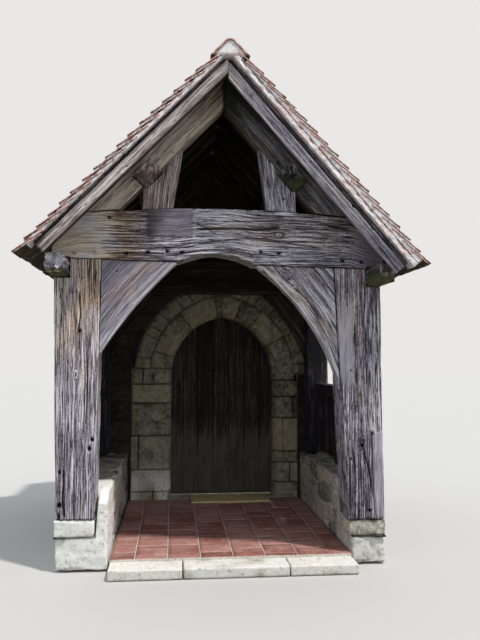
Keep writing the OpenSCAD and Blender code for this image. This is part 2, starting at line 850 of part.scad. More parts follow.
module door_pintles() color(iron)
    for (z = straps_z) {
        foot = z - strap_h / 2 - pin_gap;
        pin(foot, strap_h + pin_over, pin_r);
        pin(foot - pintle_h, pintle_h, eye_r);
        block([reveal_left, pin_y - eye_r, foot - pintle_h], [pin_x, pin_y + eye_r, foot]);
    }

// Latch: a round plate, a boss and a ring handle hanging from it
module door_latch() color(iron)
    translate([door_x + door_half - latch_in, leaf_front_y, latch_z + floor_h]) rotate([90, 0, 0]) {
        cylinder(h = latch_plate_t, r = latch_plate_r, $fn = 40);
        cylinder(h = latch_boss, r = 2 * latch_bar_r, $fn = 40);
        translate([0, -latch_r, latch_boss - latch_bar_r]) rotate_extrude($fn = 48)
            translate([latch_r - latch_bar_r, 0]) circle(r = latch_bar_r, $fn = 16);
    }

floor_bed();
front_kerb();
left_dwarf_wall();
right_dwarf_wall();
padstones();
left_front_post();
right_front_post();
rear_posts();
front_tie_beam();
rear_tie_beam();
left_arch_brace();
right_arch_brace();
rear_braces();
wall_plates();
purlins();
front_principals();
rear_principals();
front_struts();
rear_struts();
common_rafters();
left_barge_board();
right_barge_board();
verge_mortar();
left_roof_tiles();
right_roof_tiles();
ridge_tiles();
left_side_boards();
right_side_boards();
left_side_studs();
right_side_studs();
right_mid_rail();
wall_left_of_door();
wall_right_of_door();
wall_over_door();
door_jambs();
door_arch();
outer_arch();
inner_lintel();
door_sill();
door_mat();
door_leaf();
door_ledges();
door_strap_hinges();
door_pintles();
door_latch();
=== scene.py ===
import functools
import math
from itertools import pairwise

import bpy
import numpy as np
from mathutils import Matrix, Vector


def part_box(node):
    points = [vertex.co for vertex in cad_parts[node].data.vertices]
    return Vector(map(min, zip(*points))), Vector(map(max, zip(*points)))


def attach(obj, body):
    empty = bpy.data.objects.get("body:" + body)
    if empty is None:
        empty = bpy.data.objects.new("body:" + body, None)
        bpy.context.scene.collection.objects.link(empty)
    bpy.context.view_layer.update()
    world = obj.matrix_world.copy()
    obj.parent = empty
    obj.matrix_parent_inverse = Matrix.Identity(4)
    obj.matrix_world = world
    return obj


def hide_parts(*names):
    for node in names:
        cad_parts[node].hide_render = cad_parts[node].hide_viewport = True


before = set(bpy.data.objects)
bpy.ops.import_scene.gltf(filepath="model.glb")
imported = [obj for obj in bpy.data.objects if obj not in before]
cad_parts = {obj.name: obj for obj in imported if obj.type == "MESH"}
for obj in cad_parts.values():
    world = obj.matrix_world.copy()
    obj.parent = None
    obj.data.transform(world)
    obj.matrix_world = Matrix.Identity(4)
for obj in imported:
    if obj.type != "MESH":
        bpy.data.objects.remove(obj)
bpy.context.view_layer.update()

# Main planes and lines, read from the frame
floor_lo, floor_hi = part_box("floor_bed")
FLOOR_Z = floor_hi.z
FRONT_Y = floor_lo.y
WALL_Y = floor_hi.y
wall_lo, wall_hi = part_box("wall_over_door")
BACK_Y = wall_hi.y
WALL_LEFT = wall_lo.x
WALL_RIGHT = wall_hi.x
LEFT, RIGHT = -1, 1
SIDES = {LEFT: "left", RIGHT: "right"}
RIDGE_X = 0.02
RIDGE_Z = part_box("common_rafters")[1].z
PITCH = {LEFT: math.radians(45.8), RIGHT: math.radians(48.8)}
VERGE_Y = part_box("left_roof_tiles")[0].y
PLATE_MIDDLE = (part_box("wall_plates")[0].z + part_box("wall_plates")[1].z) / 2
PURLIN_MIDDLE = FLOOR_Z + 2.75
BED_DEPTH = 0.040

# Doorway, from its jambs and door
jambs_lo, jambs_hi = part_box("door_jambs")
DOOR_X = 0.153
DOOR_HALF = 0.520
SPRING_Z = jambs_hi.z
ARCH_RISE = 0.600
ARCH_OFFSET = (ARCH_RISE ** 2 - DOOR_HALF ** 2) / (2 * DOOR_HALF)
ARCH_R = DOOR_HALF + ARCH_OFFSET
RING_W = 0.225
OUTER_W = 0.150
CHAMFER = 0.052
STONE_Y = WALL_Y + 0.0005
ORDER_BACK = jambs_hi.y


# Noise

def lattice(cell, seed):
    """Repeatable random numbers from 0 to 1 at whole-number points."""
    mixed = cell[..., 0] * 374761393 + cell[..., 1] * 668265263 + cell[..., 2] * 1442695041
    mixed = (mixed + seed * 1274126177) & 0xFFFFFFFF
    mixed = ((mixed ^ (mixed >> 13)) * 1274126177) & 0xFFFFFFFF
    return ((mixed ^ (mixed >> 16)) & 0xFFFF) / 65535.0


def noise(points, seed):
    """Smooth noise from 0 to 1."""
    points = np.asarray(points, float)
    low = np.floor(points)
    part = points - low
    low = low.astype(np.int64)
    part = part * part * (3 - 2 * part)
    total = np.zeros(points.shape[:-1])
    for corner in range(8):
        step = np.array([corner & 1, corner >> 1 & 1, corner >> 2])
        weight = np.prod(np.where(step, part, 1 - part), axis=-1)
        total += weight * lattice(low + step, seed)
    return total


def layers(points, seed, octaves=3):
    """Noise of several scales added up, from 0 to 1."""
    total, weights = 0.0, 0.0
    for k in range(octaves):
        total = total + noise(points * 2.03 ** k, seed + k) / 2 ** k
        weights += 1 / 2 ** k
    return total / weights


def rubbled(points, seed):
    """How far each point lies inside a stone of a random rubble, 0 in its joints, and its shade."""
    low = np.floor(points).astype(np.int64)
    nearest, second, shade = np.full((3,) + points.shape[:-1], 9.0)
    for corner in range(27):
        cell = low + np.array([corner % 3, corner // 3 % 3, corner // 9]) - 1
        centre = np.stack([0.1 + 0.8 * lattice(cell, seed + k) for k in range(3)], -1)
        gap = np.linalg.norm(points - cell - centre, axis=-1)
        shade = np.where(gap < nearest, lattice(cell, seed + 3), shade)
        second = np.minimum(second, np.maximum(nearest, gap))
        nearest = np.minimum(nearest, gap)
    return second - nearest, shade


def ramp(value, low, high):
    """0 below low, 1 above high, smooth between."""
    share = np.clip((value - low) / (high - low), 0, 1)
    return share * share * (3 - 2 * share)


# Meshes

class Piece:
    """Points, faces and painted values of one piece of the scene, gathered part by part."""

    def __init__(self):
        self.parts = []
        self.quads = []
        self.triangles = []
        self.size = 0

    def add(self, points, quads, triangles=None, grain=None, dent=0.0, tint=0.5, coat=0.0, calm=0.0):
        """Takes in more points and faces, with the values that a material reads at each point."""
        count = len(points)
        grain = points if grain is None else grain
        values = [np.broadcast_to(v, count) for v in (dent, tint, coat, calm)]
        self.parts.append((points, grain, *values))
        self.quads.append(np.asarray(quads, int).reshape(-1, 4) + self.size)
        if triangles is not None:
            self.triangles.append(np.asarray(triangles, int).reshape(-1, 3) + self.size)
        self.size += count

    def make(self, name, material, slot, nodes=(), body="porch", smooth=True):
        """The finished object, which rides on a body and stands for CAD nodes."""
        points, grain, *values = (np.concatenate(c) for c in zip(*self.parts))
        quads = np.concatenate(self.quads)
        triangles = np.concatenate(self.triangles) if self.triangles else np.zeros((0, 3), int)
        mesh = bpy.data.meshes.new(name)
        mesh.vertices.add(len(points))
        mesh.vertices.foreach_set("co", points.astype(np.float32).ravel())
        corners = np.concatenate([quads.ravel(), triangles.ravel()])
        starts = np.concatenate([np.arange(len(quads)) * 4,
                                 quads.size + np.arange(len(triangles)) * 3])
        mesh.loops.add(len(corners))
        mesh.loops.foreach_set("vertex_index", corners.astype(np.int32))
        mesh.polygons.add(len(starts))
        mesh.polygons.foreach_set("loop_start", starts.astype(np.int32))
        mesh.polygons.foreach_set("use_smooth", np.full(len(starts), smooth))
        mesh.update(calc_edges=True)
        mesh.validate()
        vector = mesh.attributes.new("grain", "FLOAT_VECTOR", "POINT")
        vector.data.foreach_set("vector", grain.astype(np.float32).ravel())
        for label, value in zip(("dent", "tint", "coat", "calm"), values):
            attribute = mesh.attributes.new(label, "FLOAT", "POINT")
            attribute.data.foreach_set("value", value.astype(np.float32))
        mesh.materials.append(material)
        made = bpy.data.objects.new(name, mesh)
        bpy.context.scene.collection.objects.link(made)
        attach(made, body)
        if nodes:
            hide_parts(*nodes)


def corners_in(mesh):
    """The places of a mesh's corners, one in each row."""
    corners = np.empty(len(mesh.vertices) * 3, np.float32)
    mesh.vertices.foreach_get("co", corners)
    return corners.reshape(-1, 3).astype(float)


def corners_of(solid):
    """The corners that a solid's edges use."""
    return solid[0][solid[1].ravel()]


def extent(solid):
    """The lowest and the highest corner of the box round a solid."""
    corners = corners_of(solid)
    return corners.min(0), corners.max(0)


def solids(node):
    """The separate solids of a CAD node, from left to right: each one's corners and edges."""
    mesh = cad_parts[node].data
    edges = np.empty(len(mesh.edges) * 2, np.int32)
    mesh.edges.foreach_get("vertices", edges)
    corners, same = np.unique(np.round(corners_in(mesh), 5), axis=0, return_inverse=True)
    edges = same.ravel()[edges.reshape(-1, 2)]
    label = np.arange(len(corners))
    while True:
        joined = label.copy()
        np.minimum.at(joined, edges[:, 0], label[edges[:, 1]])
        np.minimum.at(joined, edges[:, 1], label[edges[:, 0]])
        if (joined == label).all():
            break
        label = joined
    found = [(corners, edges[label[edges[:, 0]] == k]) for k in np.unique(label)]
    return sorted(found, key=lambda solid: tuple(corners_of(solid).mean(0).round(2)))


def axes_along(along, through=(0, 1, 0)):
    """Rows: along the grain, across the seen face, and through the piece from its front."""
    along = np.array(along, float) / np.linalg.norm(along)
    through = np.array(through, float)
    return np.array([along, np.cross(through, along), through])


def slices(solid, axes, stations):
    """The lowest and highest places across and through a solid at each station along it."""
    corners, edges = solid
    local = corners @ axes.T
    a, b = local[edges[:, 0]], local[edges[:, 1]]
    low, high = [], []
    for station in stations:
        hit = (np.minimum(a[:, 0], b[:, 0]) <= station) & (np.maximum(a[:, 0], b[:, 0]) >= station)
        run = b[hit, 0] - a[hit, 0]
        share = np.where(abs(run) < 1e-9, 0, (station - a[hit, 0]) / np.where(run == 0, 1, run))
        cut = a[hit, 1:] + share[:, None] * (b[hit, 1:] - a[hit, 1:])
        low.append(cut.min(0))
        high.append(cut.max(0))
    return np.array(low), np.array(high)


def weathered(grain, seed, look):
    """How deep the weather has cut a face, and how dark it is painted: painted shade, darker where the cut is
    deeper.

    look is the depth, the spacing of the cracks and their sway. Without a spacing the face is
    lumpy, as mortar is, and the third value is the number of lumps in a metre.
    """
    depth, spacing, wave = look
    if not spacing:
        share = layers(grain * wave, seed)
        return depth * share, share
    along, across, through = grain.T
    sway = (noise(grain * (1.6, 4, 4), seed) - 0.5) * wave
    coarse = np.stack([along * 0.9, (across + sway) / spacing, (through + sway) / spacing], 1)
    crack = np.clip(1 - abs(noise(coarse, seed + 1) - 0.5) * 6, 0, 1) ** 1.5
    thin = np.clip(1 - abs(noise(coarse * (1.9, 1.8, 1.8), seed + 2) - 0.5) * 5, 0, 1)
    hollow = layers(grain * (1.5, 9, 9), seed + 3)
    share = 0.48 * crack + 0.27 * thin + 0.25 * hollow
    return depth * share, share


def knotted(grain, knots):
    """The grain turned aside round knots, each (its place along and across the grain, radius)."""
    grain = grain.copy()
    for along, across, radius in knots:
        beyond, beside = (grain[:, 0] - along) / 2.2, grain[:, 1] - across
        reach = np.sqrt(beyond ** 2 + beside ** 2) + 1e-6
        outside = beside * (1 - np.minimum(radius / reach, 1) ** 2)
        grain[:, 1] = across + np.where(reach > radius, outside, reach - radius)
    return grain


def marks(place, front, holes=(), checks=(), smooth=()):
    """Cut depth, painted shade and smoothness from marks drawn on the front elevation: holes and checks are
    painted dark, as the shade inside them.

    Each hole is (x, z, radius, depth), each check (its points, width, depth), and each smooth
    zone (x from, x to, z from, z to, softness of its edge). Heights are from the porch's floor.
    """
    x, z = place[:, 0], place[:, 2] - FLOOR_Z
    cut, dark, calm = (np.zeros(len(place)) for _ in range(3))
    for x0, z0, radius, depth in holes:
        inside = ramp(-np.hypot(x - x0, z - z0), -radius, -radius * 0.55) * front
        cut = np.maximum(cut, inside * depth)
        dark = np.maximum(dark, inside)
    for line, width, depth in checks:
        for (x0, z0), (x1, z1) in pairwise(line):
            run = np.array([x1 - x0, z1 - z0])
            share = np.clip(((x - x0) * run[0] + (z - z0) * run[1]) / (run @ run), 0, 1)
            gap = np.hypot(x - x0 - share * run[0], z - z0 - share * run[1])
            inside = np.clip(1 - gap / width, 0, 1) * front
            cut = np.maximum(cut, inside * depth)
            dark = np.maximum(dark, inside)
    for x0, x1, z0, z1, soft in smooth:
        edge = np.minimum(np.minimum(x - x0, x1 - x), np.minimum(z - z0, z1 - z))
        calm = np.maximum(calm, ramp(edge, -soft, soft) * front)
    return cut, dark, calm


def rounded(flat, low, high, radius):
    """Points of a box's surface drawn in to round its edges, and the way out at each."""
    inner = np.clip(flat, low + radius, high - radius)
    normal = flat - inner
    reach = np.maximum(np.linalg.norm(normal, axis=2, keepdims=True), 1e-9)
    normal = normal / reach
    return inner + normal * np.minimum(radius, reach), normal


def section(size, cells):
    """Places round a rectangle, across and through it from 0 to 1, in cells of about that size."""
    steps = [max(2, math.ceil(size[k % 2] / cell)) for k, cell in enumerate(cells)]
    even = [np.arange(n) / n for n in steps]
    bunched = [0.5 - 0.5 * np.cos(np.pi * u) for u in even]
    across = [even[0], np.ones(steps[1]), 1 - bunched[2], np.zeros(steps[3])]
    through = [np.zeros(steps[0]), bunched[1], np.ones(steps[2]), 1 - bunched[3]]
    return np.stack([np.concatenate(across), np.concatenate(through)], 1)


def tube(count, ring):
    """The point numbers of rings that follow each other, and the faces between them."""
    index = np.arange(count * ring).reshape(count, ring)
    turned = np.roll(index, -1, axis=1)
    return index, np.stack([index[:-1], turned[:-1], turned[1:], index[1:]], 2).reshape(-1, 4)


def end_cap(edge, outer, first, sign, deepest, wear, shades, rings, seed):
    """Points, grain, darkness and faces of a pitted end, in rings from its edge to its middle.

    outer is the edge's point numbers, and first is the number that the cap's own points start at.
    """
    middle = edge.mean(0)
    count = len(edge)
    grain, dark, quads = [], [], []
    for k in range(rings):
        shrunk = middle + (edge - middle) * (1 - (k + 0.4) / (rings + 0.2))
        pitted = wear * min(1 + k, 3) * layers(shrunk * 32, seed + 5)
        shrunk[:, 0] += sign * np.minimum(pitted, deepest)
        inner = first + k * count + np.arange(count)
        quads.append(np.stack([outer, inner, np.roll(inner, -1), np.roll(outer, -1)][::sign], 1))
        grain.append(shrunk)
        dark.append(shades[0] + shades[1] * layers(shrunk * (1, 60, 12), seed + 6))
        outer = inner
    grain = np.concatenate([*grain, middle[None]])
    points = grain.copy()
    points[-1, 0] += sign * wear
    fan = [outer, np.full(count, first + rings * count), np.roll(outer, -1)]
    return points, grain, np.concatenate([*dark, [0.5]]), np.concatenate(quads), np.stack(fan[::sign], 1)


def loft(out, axes, stations, low, high, cells, arris=0.008, look=(0.004, 0.02, 0.02), seed=0,
         tint=0.5, coat=0.0, follow=(0, 0), knots=(), end_wear=0.004, end_dark=(0.3, 0.9), rings=3,
         sides=1.0, plain=0.0, **drawn):
    """A weathered piece lofted through rectangles, cut inwards only.

    cells are the sizes of a face's cells on the front, the high side, the back and the low side.
    tint and coat may be functions of the points and their distances from the low and high sides.
    sides is the share of the weather's depth that the low and high sides have, and plain how
    much quieter than usual the grain looks. Holes, checks and smooth zones go on to marks.
    """
    count = len(stations)
    width = (high - low)[:, None]
    share = section(width[:, 0].max(0), cells)
    ring = len(share)
    flat = low[:, None] + share * width
    spot = np.concatenate([np.broadcast_to(stations[:, None, None], flat.shape[:2] + (1,)), flat], 2)
    worn = arris * (0.5 + layers(spot * (6, 9, 9), seed + 7, 2))[..., None]
    surface, normal = rounded(flat, low[:, None], high[:, None], np.minimum(worn, 0.45 * width))
    spot[..., 1:] = surface
    local = spot.reshape(-1, 3)
    normal = normal.reshape(-1, 2)
    gaps = np.stack([surface[..., 0] - low[:, :1], high[:, :1] - surface[..., 0]], -1).reshape(-1, 2)

    seen = [(*(axes[:2] @ (x, 0, z + FLOOR_Z)), radius) for x, z, radius in knots]
    grain = knotted(local, seen)
    grain[:, 1] -= np.repeat(low[:, 0] * follow[0] + high[:, 0] * follow[1], ring)
    # depth is the weather's cut; dark is painted shade, deepest in the cuts, and goes on to the material as
    # dent.
    depth, dark = weathered(grain, seed, look)
    cut, marked, calm = marks(local @ axes, np.tile(share[:, 1] < 0.02, count), **drawn)
    depth = (depth * (1 - 0.8 * calm) + cut) * (1 - (1 - sides) * abs(normal[:, 0]))
    depth = np.minimum(depth, 0.42 * np.repeat(width.min(2), ring))
    local[:, 1:] -= normal * depth[:, None]
    # Holes and checks are painted darkest: painted shade inside them.
    dark = np.maximum(dark * (1 - 0.6 * calm), marked * 1.6)

    index, quads = tube(count, ring)
    gathered = [local], [grain], [dark], [quads], []
    deepest = 0.3 * abs(stations[-1] - stations[0])
    total = len(local)
    for end, sign in ((0, 1), (-1, -1)):
        cap = end_cap(local[index[end]], index[end], total, sign, deepest, end_wear, end_dark, rings, seed)
        for parts, part in zip(gathered, cap):
            parts.append(part)
        total += len(cap[0])
    local, grain, dark, quads, triangles = (np.concatenate(parts) for parts in gathered)
    world = local @ axes
    gaps = np.concatenate([gaps, np.ones((total - len(gaps), 2))])
    tint, coat = (value(world, gaps) if callable(value) else value for value in (tint, coat))
    calm = np.concatenate([np.maximum(calm, plain), np.full(total - len(calm), max(plain, 0.6))])
    shift = np.array([seed * 1.37, seed * 0.71, seed * 0.33])
    out.add(world, quads, triangles, grain + shift, dark, tint, coat, calm)


def timber(out, solid, along, through=(0, 1, 0), step=0.03, trim=(0, 0, 0, 0), clip=None,
           cells=(0.02, 0.04, 0.04, 0.04), **how):
    """A timber lofted through a CAD solid, along its grain.

    trim takes that much off the low side, the high side, the front and the back.
    clip keeps only that range across it.
    """
    axes = axes_along(along, through)
    reach = (corners_of(solid) @ axes.T)[:, 0]
    first, last = reach.min(), reach.max()
    close = 0.0004
    even = np.linspace(first + close, last - close, max(3, math.ceil((last - first) / step)))
    stations = np.unique(np.round(np.concatenate([even, reach - close, reach + close]), 5))
    stations = stations[(stations > first) & (stations < last)]
    low, high = slices(solid, axes, stations)
    low = low + (trim[0], trim[2])
    high = high - (trim[1], trim[3])
    if clip is not None:
        low[:, 0] = np.maximum(low[:, 0], clip[0])
        high[:, 0] = np.minimum(high[:, 0], clip[1])
    kept = (high - low).min(1) > 0.0006
    loft(out, axes, stations[kept], low[kept], high[kept], cells, **how)


@functools.lru_cache(None)
def box_grid(cells):
    """Points from 0 to 1 and outward faces of a box's surface, split into cells."""
    counts = np.array(cells)
    grid = np.stack(np.meshgrid(*[np.arange(n + 1) for n in cells], indexing="ij"), -1)
    outer = ((grid == 0) | (grid == counts)).any(-1)
    index = np.full(outer.shape, -1)
    index[outer] = np.arange(outer.sum())
    quads = []
    for axis in range(3):
        order = np.moveaxis(index, [axis, (axis + 1) % 3, (axis + 2) % 3], [0, 1, 2])
        for side, turn in ((order[0], -1), (order[-1], 1)):
            ring = [side[:-1, :-1], side[1:, :-1], side[1:, 1:], side[:-1, 1:]]
            quads.append(np.stack(ring[::turn], -1).reshape(-1, 4))
    return grid[outer] / counts, np.concatenate(quads)


def blocks(out, lows, highs, place=None, cells=(4, 2, 3), edge=0.01, rough=0.003, grit=30.0,
           seed=0, tints=None, shape=None, coat=None, relief=None):
    """Rough blocks between pairs of corners, shaped, then moved into the frame by place.

    relief may give the depth cut into the surface at each point instead of rough.
    """
    unit, quads = box_grid(cells)
    lows = np.asarray(lows, float)[:, None]
    size = np.asarray(highs, float)[:, None] - lows
    flat = lows + unit * size
    radius = np.minimum(edge * (0.6 + 0.8 * noise(flat * 17, seed + 1)[..., None]),
                        0.45 * size.min(2, keepdims=True))
    own = np.arange(len(lows))[:, None, None] * 7.31
    depth = relief(flat) if relief else rough * layers(flat * grit + own, seed + 2)
    depth = depth[..., None]
    surface, normal = rounded(flat, lows, lows + size, radius)
    points = surface - normal * depth
    grain = points - lows + own * (1, 0.7, 0.4)
    if shape is not None:
        points = shape(points, unit)
    share = layers(flat * grit * 1.7 + own, seed + 4)
    if relief:
        share = 0.4 * share + 0.6 * depth[..., 0] / depth.max()
    rim = 1 - np.minimum(np.minimum(unit, 1 - unit) * size, 0.02).sum(2) / 0.04
    if tints is None:
        tints = own_shades(len(lows), seed + 5)
    tint = tints(flat).ravel() if callable(tints) else np.repeat(tints, len(unit))
    world = (points if place is None else place(points)).reshape(-1, 3)
    out.add(world, repeated(quads, len(lows), len(unit)), grain=grain.reshape(-1, 3),
            dent=(0.7 * share + 0.3 * rim).ravel(), tint=tint, coat=0.0 if coat is None else coat(world))


def block_piece(name, material, slot, nodes, lows, highs, **how):
    """A piece of the scene made of rough blocks alone."""
    piece = Piece()
    blocks(piece, lows, highs, **how)
    piece.make(name, material, slot, nodes)


def own_shades(count, seed):
    """A repeatable random number from 0 to 1 for each of so many pieces."""
    return lattice(np.repeat(np.arange(count)[:, None], 3, 1), seed)


def repeated(faces, count, size):
    """The faces of so many copies of a shape, each with size points of its own."""
    return faces[None] + np.arange(count)[:, None, None] * size


# Materials

class Nodes:
    """A tree of shader nodes."""

    def __init__(self, tree):
        self.tree = tree

    def node(self, kind, inputs=(), **settings):
        """A new node, whose inputs are plain values or other nodes' outputs."""
        made = self.tree.nodes.new(kind)
        for key, value in settings.items():
            setattr(made, key, value)
        for key, value in dict(inputs).items():
            self.feed(made.inputs[key], value)
        return made

    def feed(self, socket, value):
        if isinstance(value, bpy.types.NodeSocket):
            self.tree.links.new(value, socket)
        else:
            socket.default_value = value


class Paint(Nodes):
    """A material, built up from procedural parts."""

    def __init__(self, name):
        self.material = bpy.data.materials.new(name)
        self.material.use_nodes = True
        super().__init__(self.material.node_tree)
        self.shader = self.tree.nodes["Principled BSDF"]

    def value(self, name):
        """A number painted on the points."""
        return self.node("ShaderNodeAttribute", attribute_name=name).outputs["Fac"]

    def vector(self, name):
        """Three numbers painted on the points."""
        return self.node("ShaderNodeAttribute", attribute_name=name).outputs["Vector"]

    def noise(self, vector, scale, detail=3.0, roughness=0.55, distortion=0.0):
        """Noise with so many spots in a metre. Three scales are those along the three axes."""
        if isinstance(scale, tuple):
            made = self.node("ShaderNodeMapping", {"Vector": vector, "Scale": scale})
            vector, scale = made.outputs["Vector"], 1.0
        inputs = {"Vector": vector, "Scale": scale, "Detail": detail, "Roughness": roughness,
                  "Distortion": distortion}
        return self.node("ShaderNodeTexNoise", inputs).outputs["Fac"]

    def spots(self, vector, scale):
        """How far the nearest of scattered dots is, so many of them in a metre."""
        made = self.node("ShaderNodeTexVoronoi", {"Vector": vector, "Scale": scale})
        return made.outputs["Distance"]

    def math(self, operation, a, b=0.0, clamp=False):
        made = self.node("ShaderNodeMath", {0: a, 1: b}, operation=operation, use_clamp=clamp)
        return made.outputs["Value"]

    def sum(self, *terms, base=0.0):
        """base plus the sum of share * (value - middle) over (value, share, middle)."""
        total = base - sum(share * middle for _, share, middle in terms)
        for value, share, _ in terms:
            made = self.node("ShaderNodeMath", {0: value, 1: share, 2: total}, operation="MULTIPLY_ADD")
            total = made.outputs["Value"]
        return total

    def between(self, value, low, high, most=1.0):
        """0 below low and most above high, or the other way round where low is the higher."""
        inputs = {"Value": value, "From Min": low, "From Max": high, "To Max": most}
        made = self.node("ShaderNodeMapRange", inputs, interpolation_type="SMOOTHSTEP")
        return made.outputs["Result"]

    def colours(self, value, *stops):
        """A colour ramp. Its first two stops are its ends, and the others lie between."""
        made = self.node("ShaderNodeValToRGB", {"Fac": value})
        ends = made.color_ramp.elements
        for k, (position, colour) in enumerate(stops):
            stop = ends[k] if k < 2 else ends.new(position)
            stop.position = position
            stop.color = rgb(colour)
        return made.outputs["Color"]

    def mix(self, share, a, b):
        """Colour a where share is 0 and b where it is 1."""
        made = self.node("ShaderNodeMix", data_type="RGBA")
        self.feed(made.inputs[0], share)
        for socket, value in ((made.inputs[6], a), (made.inputs[7], b)):
            self.feed(socket, rgb(value) if isinstance(value, str) else value)
        return made.outputs[2]

    def facing(self, axis):
        """One part of the surface's direction in the frame: 0 for X, 1 for Y, 2 for Z."""
        normal = self.node("ShaderNodeNewGeometry").outputs["Normal"]
        return self.node("ShaderNodeSeparateXYZ", {"Vector": normal}).outputs[axis]

    def place(self):
        """The place on the object."""
        return self.node("ShaderNodeTexCoord").outputs["Object"]

    def finish(self, colour, roughness, height=None, distance=0.003, strength=0.6, metallic=0.0):
        """The material itself, bumped by height up to a distance in metres."""
        self.feed(self.shader.inputs["Base Color"], colour)
        self.feed(self.shader.inputs["Roughness"], roughness)
        self.shader.inputs["Metallic"].default_value = metallic
        if height is not None:
            inputs = {"Height": height, "Strength": strength, "Distance": distance}
            self.feed(self.shader.inputs["Normal"], self.node("ShaderNodeBump", inputs).outputs[0])
        return self.material


def rgb(colour):
    """A linear colour from six sRGB digits."""
    if not isinstance(colour, str):
        return colour
    parts = [int(colour[k:k + 2], 16) / 255 for k in (0, 2, 4)]
    linear = [p / 12.92 if p <= 0.04045 else ((p + 0.055) / 1.055) ** 2.4 for p in parts]
    return (*linear, 1.0)


def wood(name, dark, mid, light, warm, cream, algae=0.5, depth=1.0):
    """Oak: streaks and cracks along the grain, green on its undersides, brown where kept dry."""
    p = Paint(name)
    grain = p.vector("grain")
    coat = p.value("coat")
    bold = p.sum((p.value("calm"), -0.8, 0), base=1.0)
    dash = p.noise(grain, (8.0, 130.0, 130.0), detail=4.0, roughness=0.68)
    fleck = p.noise(grain, (50.0, 150.0, 150.0), detail=3.0, roughness=0.7)
    streak = p.noise(grain, (1.3, 64.0, 64.0), detail=3.0, roughness=0.6, distortion=0.1)
    parting = p.noise(grain, (2.2, 88.0, 88.0), detail=3.0, roughness=0.6)
    parting = p.math("ABSOLUTE", p.math("SUBTRACT", parting, 0.5))
    crack = p.between(parting, 0.034, 0.008)
    swell = p.between(parting, 0.0, 0.14)
    patch = p.noise(grain, (1.6, 5.0, 5.0), detail=3.0)
    # dent lowers the level: painted shade in the weather's cuts, holes and checks.
    level = p.sum((dash, 1.1, 0.5), (fleck, 1.2, 0.5), (streak, 0.7, 0.5), (swell, 0.30, 0.6),
                  (p.value("dent"), -0.75 * depth, 0.36))
    level = p.math("MULTIPLY", level, bold)
    level = p.sum((level, 1.0, 0), (p.value("tint"), 0.55, 0.5), (patch, 0.4, 0.5), base=0.5)
    colour = p.colours(level, (0.08, dark), (0.88, light), (0.48, mid))
    dry = p.math("MAXIMUM", p.math("MULTIPLY", coat, -1.0), p.between(patch, 0.50, 0.70, 0.5))
    colour = p.mix(dry, colour, p.colours(level, (0.1, dark), (0.95, cream), (0.52, warm)))
    colour = p.mix(p.math("MULTIPLY", crack, bold), colour, dark)
    under = p.between(p.facing(2), -0.25, -0.8)
    green = p.math("MULTIPLY", under, p.between(patch, 0.3, 0.6, algae))
    green = p.math("ADD", green, p.math("MAXIMUM", coat, 0.0), clamp=True)
    colour = p.mix(green, colour, p.mix(dash, "23260f", "7c7f4e"))
    height = p.sum((dash, 0.5, 0), (fleck, 0.6, 0), (streak, 0.4, 0), (crack, -0.7, 0))
    return p.finish(colour, 0.9, height, distance=0.005, strength=0.9)


def stone(name, pale, mid, dark, warm, stain=0.5, lichen=0.4, wash="f5f3ee", bump=0.004, corner=None):
    """Stone: mottled, each block in its own shade, with stains, lichen and old limewash."""
    p = Paint(name)
    grain = p.vector("grain")
    tint = p.value("tint")
    coat = p.value("coat")
    broad = p.noise(grain, 7.0, 4.0)
    mottle = p.noise(grain, 38.0, 5.0, 0.65)
    grit = p.noise(grain, 230.0, 3.0, 0.7)
    level = p.sum((mottle, 1.0, 0.5), (broad, 0.7, 0.5), (tint, 0.4, 0.5),
                  (p.value("dent"), -0.5, 0.4), base=0.48)
    colour = p.colours(level, (0.2, dark), (0.75, pale), (0.45, mid))
    warmed = p.between(p.math("MULTIPLY", tint, broad), 0.28, 0.45, 0.6)
    colour = p.mix(warmed, colour, warm)
    colour = p.mix(p.between(p.noise(grain, 16.0, 5.0), 0.5, 0.62, stain), colour, dark)
    spread = p.math("ADD", p.spots(grain, 55.0), p.noise(grain, 24.0, 2.0))
    colour = p.mix(p.between(spread, 0.62, 0.5, lichen), colour, "dedcd0")
    # With corner, this is a copy darkened by painted shade, and faces that look left or right beyond corner
    # take the unshaded colours.
    if corner:
        left, right = (p.between(p.facing(0), side * 0.6, side * 0.9) for side in (LEFT, RIGHT))
        away = p.math("ABSOLUTE", p.node("ShaderNodeSeparateXYZ", {"Vector": p.place()}).outputs[0])
        turned = p.math("MULTIPLY", p.math("ADD", left, right), p.between(away, corner - 0.02, corner))
        colour = p.mix(turned, colour, p.colours(level, (0.2, "6c695f"), (0.75, "dcd8cf"), (0.45, "b4b0a6")))
    worn = p.math("SUBTRACT", coat, p.between(mottle, 0.5, 0.68, 0.8), clamp=True)
    colour = p.mix(worn, colour, wash)
    rusted = p.math("MULTIPLY", coat, -1.0, clamp=True)
    colour = p.mix(rusted, colour, "2b1a12")
    height = p.sum((mottle, 0.7, 0), (grit, 0.3, 0))
    return p.finish(colour, 0.92, height, distance=bump, strength=0.8)


